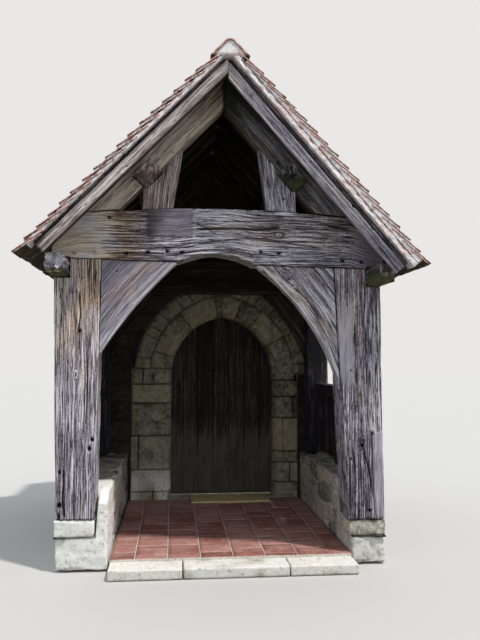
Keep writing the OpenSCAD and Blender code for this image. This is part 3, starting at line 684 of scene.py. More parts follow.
def tile_clay():
    """Handmade clay tiles: orange to plum, lichened on top, limed at the verge, dark beneath with moss and
    painted shade.
    """
    p = Paint("clay_tile")
    grain = p.vector("grain")
    tint = p.value("tint")
    mottle = p.noise(grain, 45.0, 5.0, 0.65)
    broad = p.noise(grain, 14.0, 3.0)
    bloom = p.noise(grain, 30.0, 5.0, 0.7)
    level = p.sum((tint, 0.75, 0.5), (mottle, 0.6, 0.5), base=0.5)
    colour = p.colours(level, (0.10, "54353a"), (0.92, "d79a7e"), (0.33, "8a5048"), (0.55, "b06a58"),
                       (0.75, "c3826f"))
    colour = p.mix(p.between(broad, 0.5, 0.7, 0.5), colour, "75595a")
    colour = p.mix(p.between(bloom, 0.50, 0.62, 0.55), colour, "b9a7a0")
    top = p.between(p.facing(2), 0.2, 0.6)
    spots = p.between(p.spots(grain, 38.0), 0.22, 0.12, 0.7)
    colour = p.mix(p.math("MULTIPLY", spots, top), colour, "d9d4c8")
    limed = p.math("MULTIPLY", p.between(p.facing(1), -0.5, -0.9), p.between(bloom, 0.40, 0.56, 0.75))
    colour = p.mix(limed, colour, "efdcd6")
    # Downward faces, the tails too, dark olive: moss and painted shade under the tiles.
    moss = p.math("MULTIPLY", p.between(p.facing(2), -0.35, -0.62), p.between(mottle, 0.3, 0.45))
    colour = p.mix(moss, colour, p.mix(bloom, "1b1a0c", "4a4722"))
    height = p.sum((mottle, 0.8, 0), (p.noise(grain, 160.0), 0.4, 0))
    return p.finish(colour, 0.88, height, distance=0.002, strength=0.6)


def quarry_clay():
    """Red-brown quarry tiles, worn and dusty, each in its own shade."""
    p = Paint("quarry_tile")
    grain = p.vector("grain")
    mottle = p.noise(grain, 30.0, 5.0, 0.6)
    dust = p.noise(grain, 6.0, 4.0)
    level = p.sum((p.value("tint"), 0.6, 0.5), (mottle, 0.9, 0.5), base=0.5)
    colour = p.colours(level, (0.15, "704740"), (0.88, "b98a80"), (0.5, "976257"))
    colour = p.mix(p.between(dust, 0.42, 0.7, 0.55), colour, "c2a198")
    colour = p.mix(p.between(p.value("dent"), 0.55, 0.9, 0.4), colour, "4f2f28")
    height = p.sum((mottle, 0.4, 0), (p.noise(grain, 140.0), 0.3, 0))
    rough = p.sum((dust, 0.4, 0), base=0.45)
    return p.finish(colour, rough, height, distance=0.0015, strength=0.5)


def mortar_paint(name, pale, mid, dark, flush, lichen=0.7, front_shade=0.0, mottled=1.8, base=0.54):
    """Lime mortar: gritty and lichened, with dark and reddish growths."""
    p = Paint(name)
    grain = p.vector("grain")
    mottle = p.noise(grain, 40.0, 5.0, 0.7)
    grit = p.noise(grain, 90.0, 3.0, 0.7)
    broad = p.noise(grain, 12.0, 4.0)
    # dent lowers the level: painted shade in the mortar's hollows.
    level = p.sum((mottle, mottled, 0.5), (p.value("dent"), -0.4, 0.4), base=base)
    colour = p.colours(level, (0.2, dark), (0.7, pale), (0.45, mid))
    colour = p.mix(p.between(broad, 0.5, 0.64, 0.55), colour, flush)
    colour = p.mix(p.between(p.spots(grain, 60.0), 0.24, 0.12, lichen), colour, "f4f1ee")
    colour = p.mix(p.between(grit, 0.58, 0.70, 0.55), colour, dark)
    # coat darkens: painted shade, given to the torching under the tiles.
    colour = p.mix(p.value("coat"), colour, "4d4a42")
    # Holes, where dent runs past 1, nearly black: painted shade inside them.
    colour = p.mix(p.between(p.value("dent"), 0.95, 1.4), colour, "2b2723")
    # Faces that look to the front, into the porch, darkened: painted shade.
    colour = p.mix(p.between(p.facing(1), -0.5, -0.9, front_shade), colour, "2c2922")
    height = p.sum((mottle, 0.6, 0), (grit, 0.5, 0))
    return p.finish(colour, 0.95, height, distance=0.004, strength=0.8)


def coir_paint():
    """Coconut fibre: short strands in straw and brown."""
    p = Paint("coir")
    grain = p.vector("grain")
    strand = p.noise(grain, (260.0, 900.0, 120.0), detail=3.0)
    tuft = p.noise(grain, 90.0, 3.0)
    level = p.sum((strand, 0.6, 0.5), (tuft, 0.6, 0.5), (p.value("tint"), 0.4, 0.5), base=0.5)
    colour = p.colours(level, (0.3, "c29f64"), (0.7, "ffefc4"), (0.5, "f0d197"))
    return p.finish(colour, 0.95, strand, distance=0.003, strength=0.9)


def iron_paint():
    """Old wrought iron: black-brown, pitted, with rust in its hollows."""
    p = Paint("iron")
    place = p.place()
    pits = p.noise(place, 90.0, 5.0, 0.65)
    broad = p.noise(place, 14.0, 3.0)
    colour = p.colours(pits, (0.35, "231d1a"), (0.7, "4a4340"), (0.5, "332c29"))
    colour = p.mix(p.between(p.math("MULTIPLY", pits, broad), 0.27, 0.36), colour, "6b3f26")
    rough = p.math("ADD", 0.45, p.math("MULTIPLY", pits, 0.5))
    return p.finish(colour, rough, pits, distance=0.001, strength=0.7, metallic=0.55)


OAK = wood("oak", "27242a", "9a92a1", "ede7f0", "a98a70", "f0dcc8")
# oak_shaded: oak darkened by painted shade, for timbers inside the porch and under the roof.
OAK_SHADED = wood("oak_shaded", "0e0c0a", "29231e", "574b40", "3a2e23", "66543f")
# door_oak: near-black oak, darkened by painted shade.
DOOR_OAK = wood("door_oak", "0b0b0a", "24221e", "696357", "2e2a23", "4f4738", algae=0.0, depth=0.8)
LIMESTONE = stone("limestone", "dedacd", "b6b1a3", "68655a", "bda588")
# limestone_shaded: limestone darkened by painted shade, for the doorway's jambs and arch.
LIMESTONE_SHADED = stone("limestone_shaded", "bdbaa4", "938f79", "504d40", "a3906c", stain=0.3,
                         lichen=0.15)
RUBBLE = stone("rubble", "dcd8cf", "b4b0a6", "6c695f", "bba58f", stain=0.45, lichen=0.5, bump=0.006)
# rubble_shaded: rubble darkened by painted shade, for the wall's face inside the porch.
RUBBLE_SHADED = stone("rubble_shaded", "4a473d", "302d26", "1b1914", "3a3229", lichen=0.0, bump=0.006,
                      corner=min(-WALL_LEFT, WALL_RIGHT) - 0.02)
TILE = tile_clay()
QUARRY = quarry_clay()
MORTAR = mortar_paint("mortar", "dcd7cc", "a9a295", "6a645a", "c9c4b5")
VERGE_MORTAR = mortar_paint("verge_mortar", "fffafa", "efe2e4", "8d7b76", "efc4ba", base=0.64)
# Dark mortar for the torching under the roof: painted shade.
SHADED_MORTAR = mortar_paint("shaded_mortar", "48443a", "322f28", "1f1c17", "3c382e", 0.0)
# wall_mortar: darkened by painted shade on faces that look into the porch.
WALL_MORTAR = mortar_paint("wall_mortar", "bab5a9", "97917f", "5f5a50", "aba594", lichen=0.3, front_shade=1.0,
                           mottled=0.9)
COIR = coir_paint()
IRON = iron_paint()


# Timber frame

def slope_axis(side):
    """Along a slope, so that across it points out of the roof."""
    return (-math.cos(PITCH[side]), 0, side * math.sin(PITCH[side]))


def outward(side):
    """Square to a slope, out of the roof."""
    return (side * math.sin(PITCH[side]), 0, math.cos(PITCH[side]))


def side_of(solid):
    """The side of the ridge line that a solid lies on."""
    return LEFT if corners_of(solid)[:, 0].mean() < RIDGE_X else RIGHT


def timbers(node, along, material=OAK_SHADED, slot="oak_shaded", body="porch", seed=1,
            through=(0, 1, 0), **how):
    """Every solid of a CAD node as a timber. along and through may be functions of a solid."""
    piece = Piece()
    for k, solid in enumerate(solids(node)):
        ways = [value(solid) if callable(value) else value for value in (along, through)]
        timber(piece, solid, *ways, seed=seed + 3 * k, **how)
    piece.make(node + "_oak", material, slot, [node], body)


def front_posts():
    """The left post, brown above with a painted highlight down its inner edge, and the grey right post with
    painted light and shade.
    """
    def lit(world, gaps):
        # A painted highlight down the inner edge of the front face, where the sun catches it.
        return ramp(-gaps[:, 1], -0.014, -0.004) * (world[:, 1] < FRONT_Y + 0.02)

    def left_tint(world, gaps):
        inner = ramp(world[:, 0], -1.06, -0.93) * ramp(-world[:, 2], -1.15, -0.9)
        foot = 0.16 * ramp(-world[:, 2], -0.75, -0.5)
        return (0.58 - foot + 0.22 * inner + 0.25 * ramp(world[:, 2], 1.3, 1.9)
                + 0.6 * lit(world, gaps) * ramp(world[:, 2], 0.5, 0.7))

    def left_coat(world, gaps):
        blotch = 0.45 + 0.55 * ramp(noise(world * (14, 14, 5), 25), 0.3, 0.6)
        # Brown above in blotches, and warm along the painted highlight of the inner edge.
        return -np.maximum(0.9 * ramp(world[:, 2], 1.25, 1.9) * blotch, 0.6 * lit(world, gaps))

    def right_tint(world, gaps):
        # Painted light and shade: paler in a band at mid height and down the outer edge, darker low down on
        # the rest.
        height = world[:, 2] - FLOOR_Z
        outer = ramp(world[:, 0], 1.06, 1.14) * ramp(-height, -1.5, -1.1)
        pale = ramp(height, 1.15, 1.35) * ramp(-height, -1.78, -1.62)
        return 0.54 - 0.30 * ramp(-height, -1.0, -0.4) * (1 - outer) + 0.16 * pale + 0.1 * outer

    timbers("left_front_post", (0, 0, 1), OAK, "oak", step=0.012,
            cells=(0.005, 0.012, 0.03, 0.02), arris=0.012, look=(0.014, 0.0105, 0.025), seed=21,
            tint=left_tint, coat=left_coat,
            holes=[(-0.925, 0.837, 0.015, 0.03), (-0.945, 0.774, 0.018, 0.03),
                   (-1.151, 0.609, 0.013, 0.03), (-1.148, 0.38, 0.02, 0.03),
                   (-1.16, 0.30, 0.022, 0.03), (-1.02, 1.61, 0.012, 0.02)],
            checks=[([(-1.03, 1.88), (-1.018, 1.72), (-1.035, 1.60)], 0.007, 0.016),
                    ([(-1.12, 0.62), (-1.125, 0.42), (-1.11, 0.30)], 0.007, 0.02),
                    ([(-0.97, 1.45), (-0.965, 1.15), (-0.975, 0.95)], 0.005, 0.012)],
            knots=[(-1.045, 1.30, 0.018), (-0.985, 0.86, 0.015)])
    timbers("right_front_post", (0, 0, 1), OAK, "oak", step=0.012,
            cells=(0.005, 0.03, 0.03, 0.012), arris=0.012, look=(0.016, 0.0105, 0.03), seed=34,
            tint=right_tint,
            smooth=[(0.86, 0.975, 1.22, 1.80, 0.01), (1.112, 1.192, 0.25, 0.872, 0.01)],
            holes=[(1.035, 0.775, 0.014, 0.03), (1.115, 0.86, 0.011, 0.03), (0.955, 1.33, 0.009, 0.02),
                   (0.95, 0.68, 0.008, 0.02), (1.09, 0.30, 0.012, 0.03)],
            checks=[([(0.87, 1.212), (1.035, 1.211)], 0.006, 0.012),
                    ([(1.108, 0.87), (1.112, 0.60), (1.125, 0.25)], 0.007, 0.02),
                    ([(1.039, 0.764), (1.082, 0.596), (1.117, 0.378), (1.135, 0.25)], 0.006, 0.012),
                    ([(0.985, 1.60), (0.992, 1.35), (1.0, 1.22)], 0.006, 0.016),
                    ([(1.07, 1.95), (1.06, 1.70), (1.075, 1.45)], 0.005, 0.014)],
            knots=[(1.035, 0.80, 0.02)])


def front_tie():
    """The cambered tie beam, with its pegs, its let-in patch and its stain.

    pegs and patch are places on the front elevation.
    """
    pegs = [(-1.076, 2.171), (-0.927, 2.173), (-0.699, 2.176), (-0.542, 2.186), (-0.404, 2.195),
            (-0.296, 2.19), (0.285, 2.199), (0.419, 2.193), (0.901, 2.14), (1.046, 2.135),
            (-0.824, 2.437)]
    patch = [(-0.548, 2.500), (-0.548, 2.30), (-0.222, 2.298), (-0.222, 2.500)]

    def tint(world, gaps):
        x = world[:, 0] + 0.16 * (noise(world * (7, 7, 9), 48) - 0.5)
        z = world[:, 2] - FLOOR_Z + 0.05 * (noise(world * (9, 9, 5), 50) - 0.5)
        patched = (abs(world[:, 0] + 0.385) < 0.163) & (world[:, 2] > FLOOR_Z + 2.30)
        stain = ramp(-np.hypot(x - 0.40, z - 2.31), -0.15, -0.05)
        band = ramp(z, 2.34, 2.44) * ramp(x, -0.34, -0.20)
        crest = band * ramp(-x, -0.24, -0.12)
        dull = band * ramp(x, 0.12, 0.24)
        end = ramp(-x, 0.60, 1.06)
        dim_band = ramp(x, -1.02, -0.72) * ramp(-x, 0.34, 0.60)
        # Darker towards the right end: painted shade. Also paler at the left end and along a stretch of the
        # top, darker in a band left of the middle, in the patch, round the knot and along the top to the
        # right.
        return (0.80 - 0.42 * ramp(x, 0.45, 1.0) + 1.6 * end - 0.46 * dim_band - 0.52 * patched
                - 0.28 * stain + 0.28 * crest - 0.16 * dull)

    def coat(world, gaps):
        blotch = ramp(noise(world * (5, 5, 6), 49), 0.05, 0.40)
        return -ramp(-world[:, 0], 0.42, 0.78) * blotch

    timbers("front_tie_beam", (1, 0, 0), OAK, "oak", step=0.013,
            cells=(0.005, 0.014, 0.03, 0.02), arris=0.014, look=(0.017, 0.013, 0.10), seed=47,
            tint=tint, coat=coat, follow=(0.25, 0.35),
            smooth=[(-1.5, -0.90, 1.8, 2.8, 0.20), (-0.548, -0.222, 2.30, 2.53, 0.012),
                    (1.02, 1.5, 1.8, 2.8, 0.10)],
            holes=[(x, z, 0.015, 0.025) for x, z in pegs],
            checks=[([(-0.165, 2.361), (0.055, 2.368), (0.293, 2.366), (0.42, 2.382)], 0.011, 0.025),
                    ([(-0.18, 2.40), (-0.05, 2.33)], 0.006, 0.014),
                    ([(0.0, 2.42), (0.35, 2.43), (0.62, 2.415)], 0.006, 0.014),
                    ([(-0.30, 2.245), (0.2, 2.30), (0.7, 2.24)], 0.005, 0.010),
                    ([(-0.95, 2.34), (-0.7, 2.335), (-0.55, 2.35)], 0.005, 0.010),
                    (patch[:3], 0.004, 0.004), (patch[2:], 0.004, 0.005)],
            knots=[(0.42, 2.33, 0.02)])


def arch_braces():
    """The curved braces of the front: the left one smooth, with a painted highlight on its curved edge, and
    the right one with painted light along its curved edge.
    """
    def left_tint(world, gaps):
        # Paler towards the curved edge, brightest on its arris: a painted highlight.
        edge = ramp(-gaps[:, 1], -0.012, -0.003)
        return 0.40 + 0.34 * ramp(-gaps[:, 1], -0.13, -0.01) + 0.6 * edge

    def right_tint(world, gaps):
        # Lighter towards the curved edge: painted light where the sun falls on the brace.
        return 0.66 + 0.5 * ramp(-gaps[:, 0], -0.10, -0.01)

    timbers("left_arch_brace", (0.58, 0, 0.70), OAK, "oak", step=0.014,
            cells=(0.0065, 0.012, 0.03, 0.03), arris=0.007, look=(0.005, 0.016, 0.04), seed=58,
            tint=left_tint, follow=(0, 0.95), knots=[(-0.66, 1.79, 0.014)], plain=0.88,
            holes=[(-0.765, 2.05, 0.01, 0.02)])
    timbers("right_arch_brace", (-0.60, 0, 1.0), OAK, "oak", step=0.013,
            cells=(0.0055, 0.03, 0.03, 0.012), arris=0.008, look=(0.013, 0.018, 0.08), seed=63,
            tint=right_tint, follow=(0.8, 0), knots=[(0.50, 2.0, 0.03)], plain=0.15,
            holes=[(0.50, 2.0, 0.013, 0.006)],
            checks=[([(0.45, 2.02), (0.62, 1.86), (0.74, 1.70)], 0.006, 0.012)])


def strut_axis(solid):
    """Along a strut, which leans towards the ridge line as it rises."""
    return (-0.13 * side_of(solid), 0, 1)


def rafter_axis(solid):
    """Along a timber that follows its slope."""
    return slope_axis(side_of(solid))


def front_gable():
    """The struts and principal rafters over the front tie beam, brown on the left, the principals darker
    towards the apex with painted shade.
    """
    timbers("front_struts", strut_axis, OAK, "oak", step=0.014,
            cells=(0.0062, 0.02, 0.03, 0.02), arris=0.007, look=(0.009, 0.016, 0.03), seed=71, plain=0.25,
            tint=lambda world, gaps: np.where(world[:, 0] < 0, 0.58, 0.70),
            coat=lambda world, gaps: np.where(world[:, 0] < 0, -0.55, 0.0),
            holes=[(0.46, 2.60, 0.007, 0.012), (0.50, 2.56, 0.006, 0.012)])
    # The principals darken towards the apex: painted shade under the ridge.
    timbers("front_principals", rafter_axis, OAK, "oak", step=0.016,
            cells=(0.0075, 0.02, 0.03, 0.02), arris=0.009, look=(0.008, 0.02, 0.04), seed=83, plain=0.35,
            tint=lambda world, gaps: (np.where(world[:, 0] < 0, 1.0 + noise(world * 9, 84), 0.34)
                                      - 0.8 * ramp(world[:, 2], 3.15, 3.45)),
            coat=lambda world, gaps: np.where(world[:, 0] < 0, -0.85, 0.22),
            holes=[(-0.365, 2.929, 0.015, 0.02), (0.42, 2.87, 0.014, 0.02)])


def barge_boards():
    """Each board and its set-back fillet. The left is brown, the right slate-grey."""
    fillet = {LEFT: 0.017, RIGHT: 0.032}
    depth = {LEFT: 0.085, RIGHT: 0.112}
    setback = 0.008
    brown = {LEFT: -0.50, RIGHT: 0.0}
    pale = {LEFT: 1.05, RIGHT: 0.62}
    nails = {LEFT: [(-0.95, 2.46, 0.007, 0.006), (-0.35, 3.06, 0.007, 0.006), (-0.68, 2.73, 0.006, 0.006)],
             RIGHT: [(0.177, 3.262, 0.009, 0.01), (0.901, 2.49, 0.012, 0.01), (0.60, 2.80, 0.007, 0.01),
                     (1.035, 2.335, 0.011, 0.01)]}
    for side, name in SIDES.items():
        node = name + "_barge_board"
        solid = solids(node)[0]
        piece = Piece()
        timber(piece, solid, slope_axis(side), step=0.016, trim=(0, fillet[side], 0, 0),
               cells=(0.0055, 0.02, 0.02, 0.012), arris=0.004, look=(0.005, 0.012, 0.03),
               seed=90 + side, coat=brown[side], holes=nails[side], plain=0.5,
               tint=lambda world, gaps: (pale[side] + 0.45 * ramp(-gaps.min(1), -0.008, -0.002)
                                         - 0.4 * ramp(-world[:, 2], -2.55, -2.25)),
               knots=[(0.901, 2.487, 0.012), (-0.7, 2.70, 0.010)])
        timber(piece, solid, slope_axis(side), step=0.03,
               trim=(depth[side] - fillet[side] + 0.0005, 0, setback, 0),
               cells=(0.006, 0.02, 0.02, 0.02), arris=0.003, look=(0.004, 0.012, 0.02),
               seed=96 + side, tint=-0.12)
        piece.make(node + "_oak", OAK, "oak", [node])


def running_timbers():
    """Purlins and wall plates, whose rough ends stand out in front."""
    def outside(world):
        return ramp(-world[:, 1], -FRONT_Y - 0.02, -FRONT_Y + 0.02)

    def purlin_coat(world, gaps):
        lower = ramp(noise(world * (14, 14, 8), 117) - 4 * (world[:, 2] - PURLIN_MIDDLE), 0.45, 0.9)
        return np.where(world[:, 0] < 0, -0.7, 0.0) + outside(world) * lower

    def purlin_tint(world, gaps):
        # Pale streaks on the upper part of the ends in front: painted highlights.
        upper = ramp(world[:, 2], PURLIN_MIDDLE - 0.02, PURLIN_MIDDLE + 0.06)
        streaks = 1.5 * upper * ramp(noise(world * (70, 1, 34), 118), 0.35, 0.85)
        return np.where(world[:, 0] < 0, 0.3, -0.4) + streaks * outside(world)

    def plate_moss(world, gaps):
        under = ramp(-world[:, 2], -PLATE_MIDDLE - 0.01, -PLATE_MIDDLE + 0.05)
        return outside(world) * np.maximum(0.85 * under, 0.5 * ramp(noise(world * 22, 117), 0.5, 0.7))

    def plate_tint(world, gaps):
        under = ramp(-world[:, 2], -PLATE_MIDDLE - 0.02, -PLATE_MIDDLE + 0.04)
        streaks = 1.5 * ramp(noise(world * (34, 1, 20), 119), 0.45, 0.75)
        end = np.where(world[:, 0] < 0, 0.6, -0.1) + streaks - 0.9 * under
        return 0.6 + (end - 0.6) * outside(world)

    timbers("purlins", (0, 1, 0), OAK, "oak",
            through=lambda solid: outward(side_of(solid)), step=0.03,
            cells=(0.010, 0.012, 0.02, 0.012), arris=0.020, look=(0.014, 0.018, 0.03), seed=101,
            tint=purlin_tint, coat=purlin_coat, end_wear=0.009, end_dark=(-0.5, 1.5), rings=9)
    timbers("wall_plates", (0, 1, 0), OAK, "oak", through=(0, 0, 1), step=0.016,
            cells=(0.010, 0.010, 0.02, 0.010), arris=0.036, look=(0.024, 0.028, 0.05), seed=111,
            tint=plate_tint, coat=plate_moss, end_wear=0.016, end_dark=(-0.4, 1.2), rings=8)


def outer_face(world, node):
    """A tint that is silvery on the outer side of a node's timbers and dark inside the porch, the dark being
    painted shade.
    """
    low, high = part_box(node)
    inward = np.where(world[:, 0] < RIDGE_X, world[:, 0] - low.x, high.x - world[:, 0])
    return -0.5 + 0.9 * ramp(-inward, -0.014, -0.008)


def inner_frame():
    """The frame behind the front one, seldom wetted, and dark with painted shade."""
    def bare(node, along, seed, *finish, **how):
        timbers(node, along, *finish, seed=seed, cells=(0.02, 0.03, 0.04, 0.03), arris=0.009,
                look=(0.006, 0.022, 0.04), **how)

    def silvered(node, along, seed, **how):
        bare(node, along, seed, OAK, "oak", tint=lambda world, gaps: outer_face(world, node), **how)

    bare("common_rafters", rafter_axis, 120, tint=0.55)
    bare("rear_principals", rafter_axis, 131)
    bare("rear_struts", strut_axis, 140)
    bare("rear_tie_beam", (1, 0, 0), 144, follow=(0.2, 0.2))
    silvered("rear_posts", (0, 0, 1), 150)
    bare("rear_braces", lambda solid: (-0.55 * side_of(solid), 0, 0.72), 156, tint=0.62)
    bare("left_side_studs", (0, 0, 1), 163, through=(1, 0, 0))
    bare("right_side_studs", (0, 0, 1), 170, through=(1, 0, 0))
    silvered("right_mid_rail", (0, 1, 0), 178, through=(1, 0, 0))
    bare("inner_lintel", (1, 0, 0), 181, through=(0, -1, 0))


def split(out, solid, along, through, count, gap, seed, paint, step_back=0.0, **how):
    """Boards side by side, cut from one CAD solid.

    paint adds to their tint by place, and step_back is how far some stand behind the others.
    """
    axes = axes_along(along, through)
    reach = (corners_of(solid) @ axes.T)[:, 1]
    edges = np.linspace(reach.min(), reach.max(), count + 1)
    sway = (own_shades(count + 1, seed) - 0.5) * 0.02
    edges[1:-1] += sway[1:-1]
    for k in range(count):
        shade = 0.42 + 0.3 * lattice(np.array([k, 1, 2]), seed)
        sunk = step_back * lattice(np.array([k, 5, 2]), seed)
        # Each board is darker along its two edges: painted shade in the gaps between the boards.
        timber(out, solid, along, through, clip=(edges[k] + gap / 2, edges[k + 1] - gap / 2),
               trim=(0, 0, sunk, 0), seed=seed + k, **how,
               tint=lambda world, gaps: shade + paint(world) - 0.9 * ramp(-gaps.min(1), -0.010, -0.003))


def side_boards():
    """Upright boards on both sides, silvery outside and dark within with painted shade."""
    for name, through, seed in (("left", (1, 0, 0), 190), ("right", (-1, 0, 0), 210)):
        node = name + "_side_boards"
        piece = Piece()
        split(piece, solids(node)[0], (0, 0, 1), through, 8, 0.0006, seed, step=0.04,
              cells=(0.012, 0.015, 0.014, 0.015), arris=0.006, look=(0.005, 0.02, 0.03), sides=0,
              # Darker still inside the porch: painted shade.
              step_back=0.006, paint=lambda world: outer_face(world, node) - 0.40)
        piece.make(node + "_oak", OAK, "oak", [node])


# Door

def door():
    """The planks of the leaf, paler at the foot with painted light thrown up from the floor, its ledges and
    its ironwork.
    """
    leaf = Piece()
    split(leaf, solids("door_leaf")[0], (0, 0, 1), (0, 1, 0), 7, 0.0006, 230, step=0.025,
          cells=(0.009, 0.014, 0.012, 0.014), arris=0.005, look=(0.004, 0.016, 0.02), sides=0, plain=0.55,
          # Paler at the foot: painted light thrown up from the floor.
          paint=lambda world: 2.6 * ramp(-world[:, 2], -0.95, -0.15))
    leaf.make("door_planks", DOOR_OAK, "door_oak", ["door_leaf"], "door")
    timbers("door_ledges", (1, 0, 0), DOOR_OAK, "door_oak", "door",
            through=(0, -1, 0), step=0.03, cells=(0.012, 0.012, 0.02, 0.012), arris=0.005,
            look=(0.003, 0.018, 0.02), seed=241, plain=0.5)
    for node in ("door_strap_hinges", "door_latch", "door_pintles"):
        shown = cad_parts[node]
        shown.data.materials.clear()
        shown.data.materials.append(IRON)


# Roof

def slope_point(side, down, y, out):
    """The point so far down a slope from its apex and out from the rafters' backs."""
    pitch = PITCH[side]
    x = RIDGE_X + side * (down * math.cos(pitch) + out * math.sin(pitch))
    z = RIDGE_Z - down * math.sin(pitch) + out * math.cos(pitch)
    return np.stack(np.broadcast_arrays(x, y, z), -1)


class Slope:
    """One slope of tiling: its courses, laid inside the CAD tiling.

    The tiles of the lowest course lie on shorter ones, of under_length. step is the height of
    the step that each tail makes, and top_tail is how near to the apex a course may end.
    """

    gauge = 0.1105
    width = 0.166
    length = 0.265
    under_length = 0.17
    thick = 0.0125
    clearance = 0.0015
    step = 0.0175
    top_tail = 0.17
    tilt = math.atan(step / gauge)

    def __init__(self, side):
        self.side = side
        self.node = SIDES[side] + "_roof_tiles"
        self.axes = axes_along(slope_axis(side))
        self.apex = self.axes @ (RIDGE_X, 0, RIDGE_Z)
        solid = solids(self.node)[0]
        reach = (solid[0] @ self.axes.T)[:, 0]
        within = 0.001
        stations = np.linspace(reach.min() + within, reach.max() - within, 200)
        high = slices(solid, self.axes, stations)[1][:, 0] - self.apex[1]
        down = -side * (stations - self.apex[0])
        order = np.argsort(down)
        self.down, self.high = down[order], high[order]
        self.end = self.down[-1] - 0.004
        self.tails = np.arange(self.end, self.top_tail, -self.gauge)

    def cover(self, down):
        """Height of the CAD tiling's upper face, less the clearance."""
        return np.interp(down, self.down, self.high) - self.clearance

    def top(self, down):
        """Height of the tiles' top faces, stepped at each tail."""
        k = np.clip(np.floor((self.end - down) / self.gauge), 0, len(self.tails) - 1).astype(int)
        tail = self.tails[k]
        return self.cover(tail) - (tail - down) * math.tan(self.tilt)

    def bed(self, out, down, floor, roof, front, back, cell, **how):
        """Mortar run down the slope between two heights and two places along Y.

        cell is the size of the faces on its front.
        """
        stations = self.apex[0] - self.side * down
        order = np.argsort(stations)
        count = len(down)
        low = np.stack([np.full(count, self.apex[1] + floor), np.full(count, front)], 1)
        high = np.stack([np.full(count, self.apex[1] + roof), np.full(count, back)], 1)
        loft(out, self.axes, stations[order], low[order], high[order], (cell, 0.05, 0.05, 0.05), **how)


def tiles(slope):
    """Every tile of a slope, a little uneven in its thickness, place, height and turn."""
    side = slope.side
    half_gap = 0.001
    narrowest = 0.02
    below_apex = 0.05
    random = np.random.default_rng(310 + side)
    depth = WALL_Y - VERGE_Y
    lows, highs, tails, lifts, turns = [], [], [], [], []
    for k, tail in enumerate(slope.tails):
        for under in ((False, True) if k == 0 else (False,)):
            start = -0.5 * slope.width * ((k + under) % 2)
            fitted = min(slope.length, (tail - below_apex) / math.cos(slope.tilt))
            length = slope.under_length if under else fitted
            drop = (slope.thick + slope.clearance) * under
            while start < depth - narrowest:
                y0 = max(0, start) + half_gap
                y1 = min(depth, start + slope.width) - half_gap
                if y1 - y0 > narrowest:
                    freedom = 1.0 if start > 0 else 0.3
                    pair = sorted((side * (VERGE_Y + y0), side * (VERGE_Y + y1)))
                    lows.append((pair[0], 0, -slope.thick * random.uniform(0.9, 1.1)))
                    highs.append((pair[1], length, 0))
                    tails.append(tail - random.uniform(0, 0.012))
                    lifts.append(slope.cover(tail) - drop - random.uniform(0, 0.004))
                    turns.append(random.uniform(-1, 1) * freedom)
                start += slope.width
    tails, lifts, turns = (np.array(v)[:, None] for v in (tails, lifts, turns))

    def camber(points, unit):
        points = points.copy()
        across, along = unit[:, 0], unit[:, 1]
        points[..., 2] -= 0.004 * (2 * across - 1) ** 2 + 0.004 * (2 * along - 1) ** 2 * (along > 0.5)
        points[..., 2] -= 0.0025 * (1 + turns * (2 * across - 1))
        return points

    def place(points):
        across, along, height = np.moveaxis(points, -1, 0)
        down = tails - along * math.cos(slope.tilt) - height * math.sin(slope.tilt)
        out = lifts - along * math.sin(slope.tilt) + height * math.cos(slope.tilt)
        return slope_point(side, down, side * across, out)

    block_piece(slope.node + "_clay", TILE, "clay_tile", [slope.node], lows, highs, place=place,
                cells=(5, 5, 1), edge=0.003, rough=0.0022, grit=24, seed=320 + side,
                tints=random.beta(2.2, 2.2, len(lows)), shape=camber)


def battens(slope):
    """Oak laths across the rafters, with mortar between them under the tiles."""
    side = slope.side
    half, bottom, top = 0.018, 0.001, 0.022
    above_tail, highest = 0.18, 0.1
    centres = slope.tails[:-1] - above_tail
    centres = centres[centres >= highest]
    ends = sorted((side * (VERGE_Y + 0.18), side * (WALL_Y - 0.002)))

    def place(points):
        across, up, height = np.moveaxis(points, -1, 0)
        return slope_point(side, -up, side * across, height)

    block_piece(slope.node + "_battens", OAK_SHADED, "oak_shaded", [],
                [(ends[0], -(centre + half), bottom) for centre in centres],
                [(ends[1], -(centre - half), top) for centre in centres],
                place=place, cells=(40, 2, 2), edge=0.004, rough=0.003, grit=14, seed=330 + side)
    down = np.linspace(0.015, slope.end - 0.10, 72)
    under = slope.top(down) - 3 * slope.thick - 0.004
    # The torching: dark mortar, darker still through coat, as painted shade under the roof.
    torching = Piece()
    slope.bed(torching, down, 0.014, np.maximum(under, 0.02), VERGE_Y + 0.17, WALL_Y - 0.001, 0.03,
              arris=0.004, look=(0.008, 0, 14), seed=340 + side, coat=0.35)
    torching.make(slope.node + "_torching", SHADED_MORTAR, "mortar")


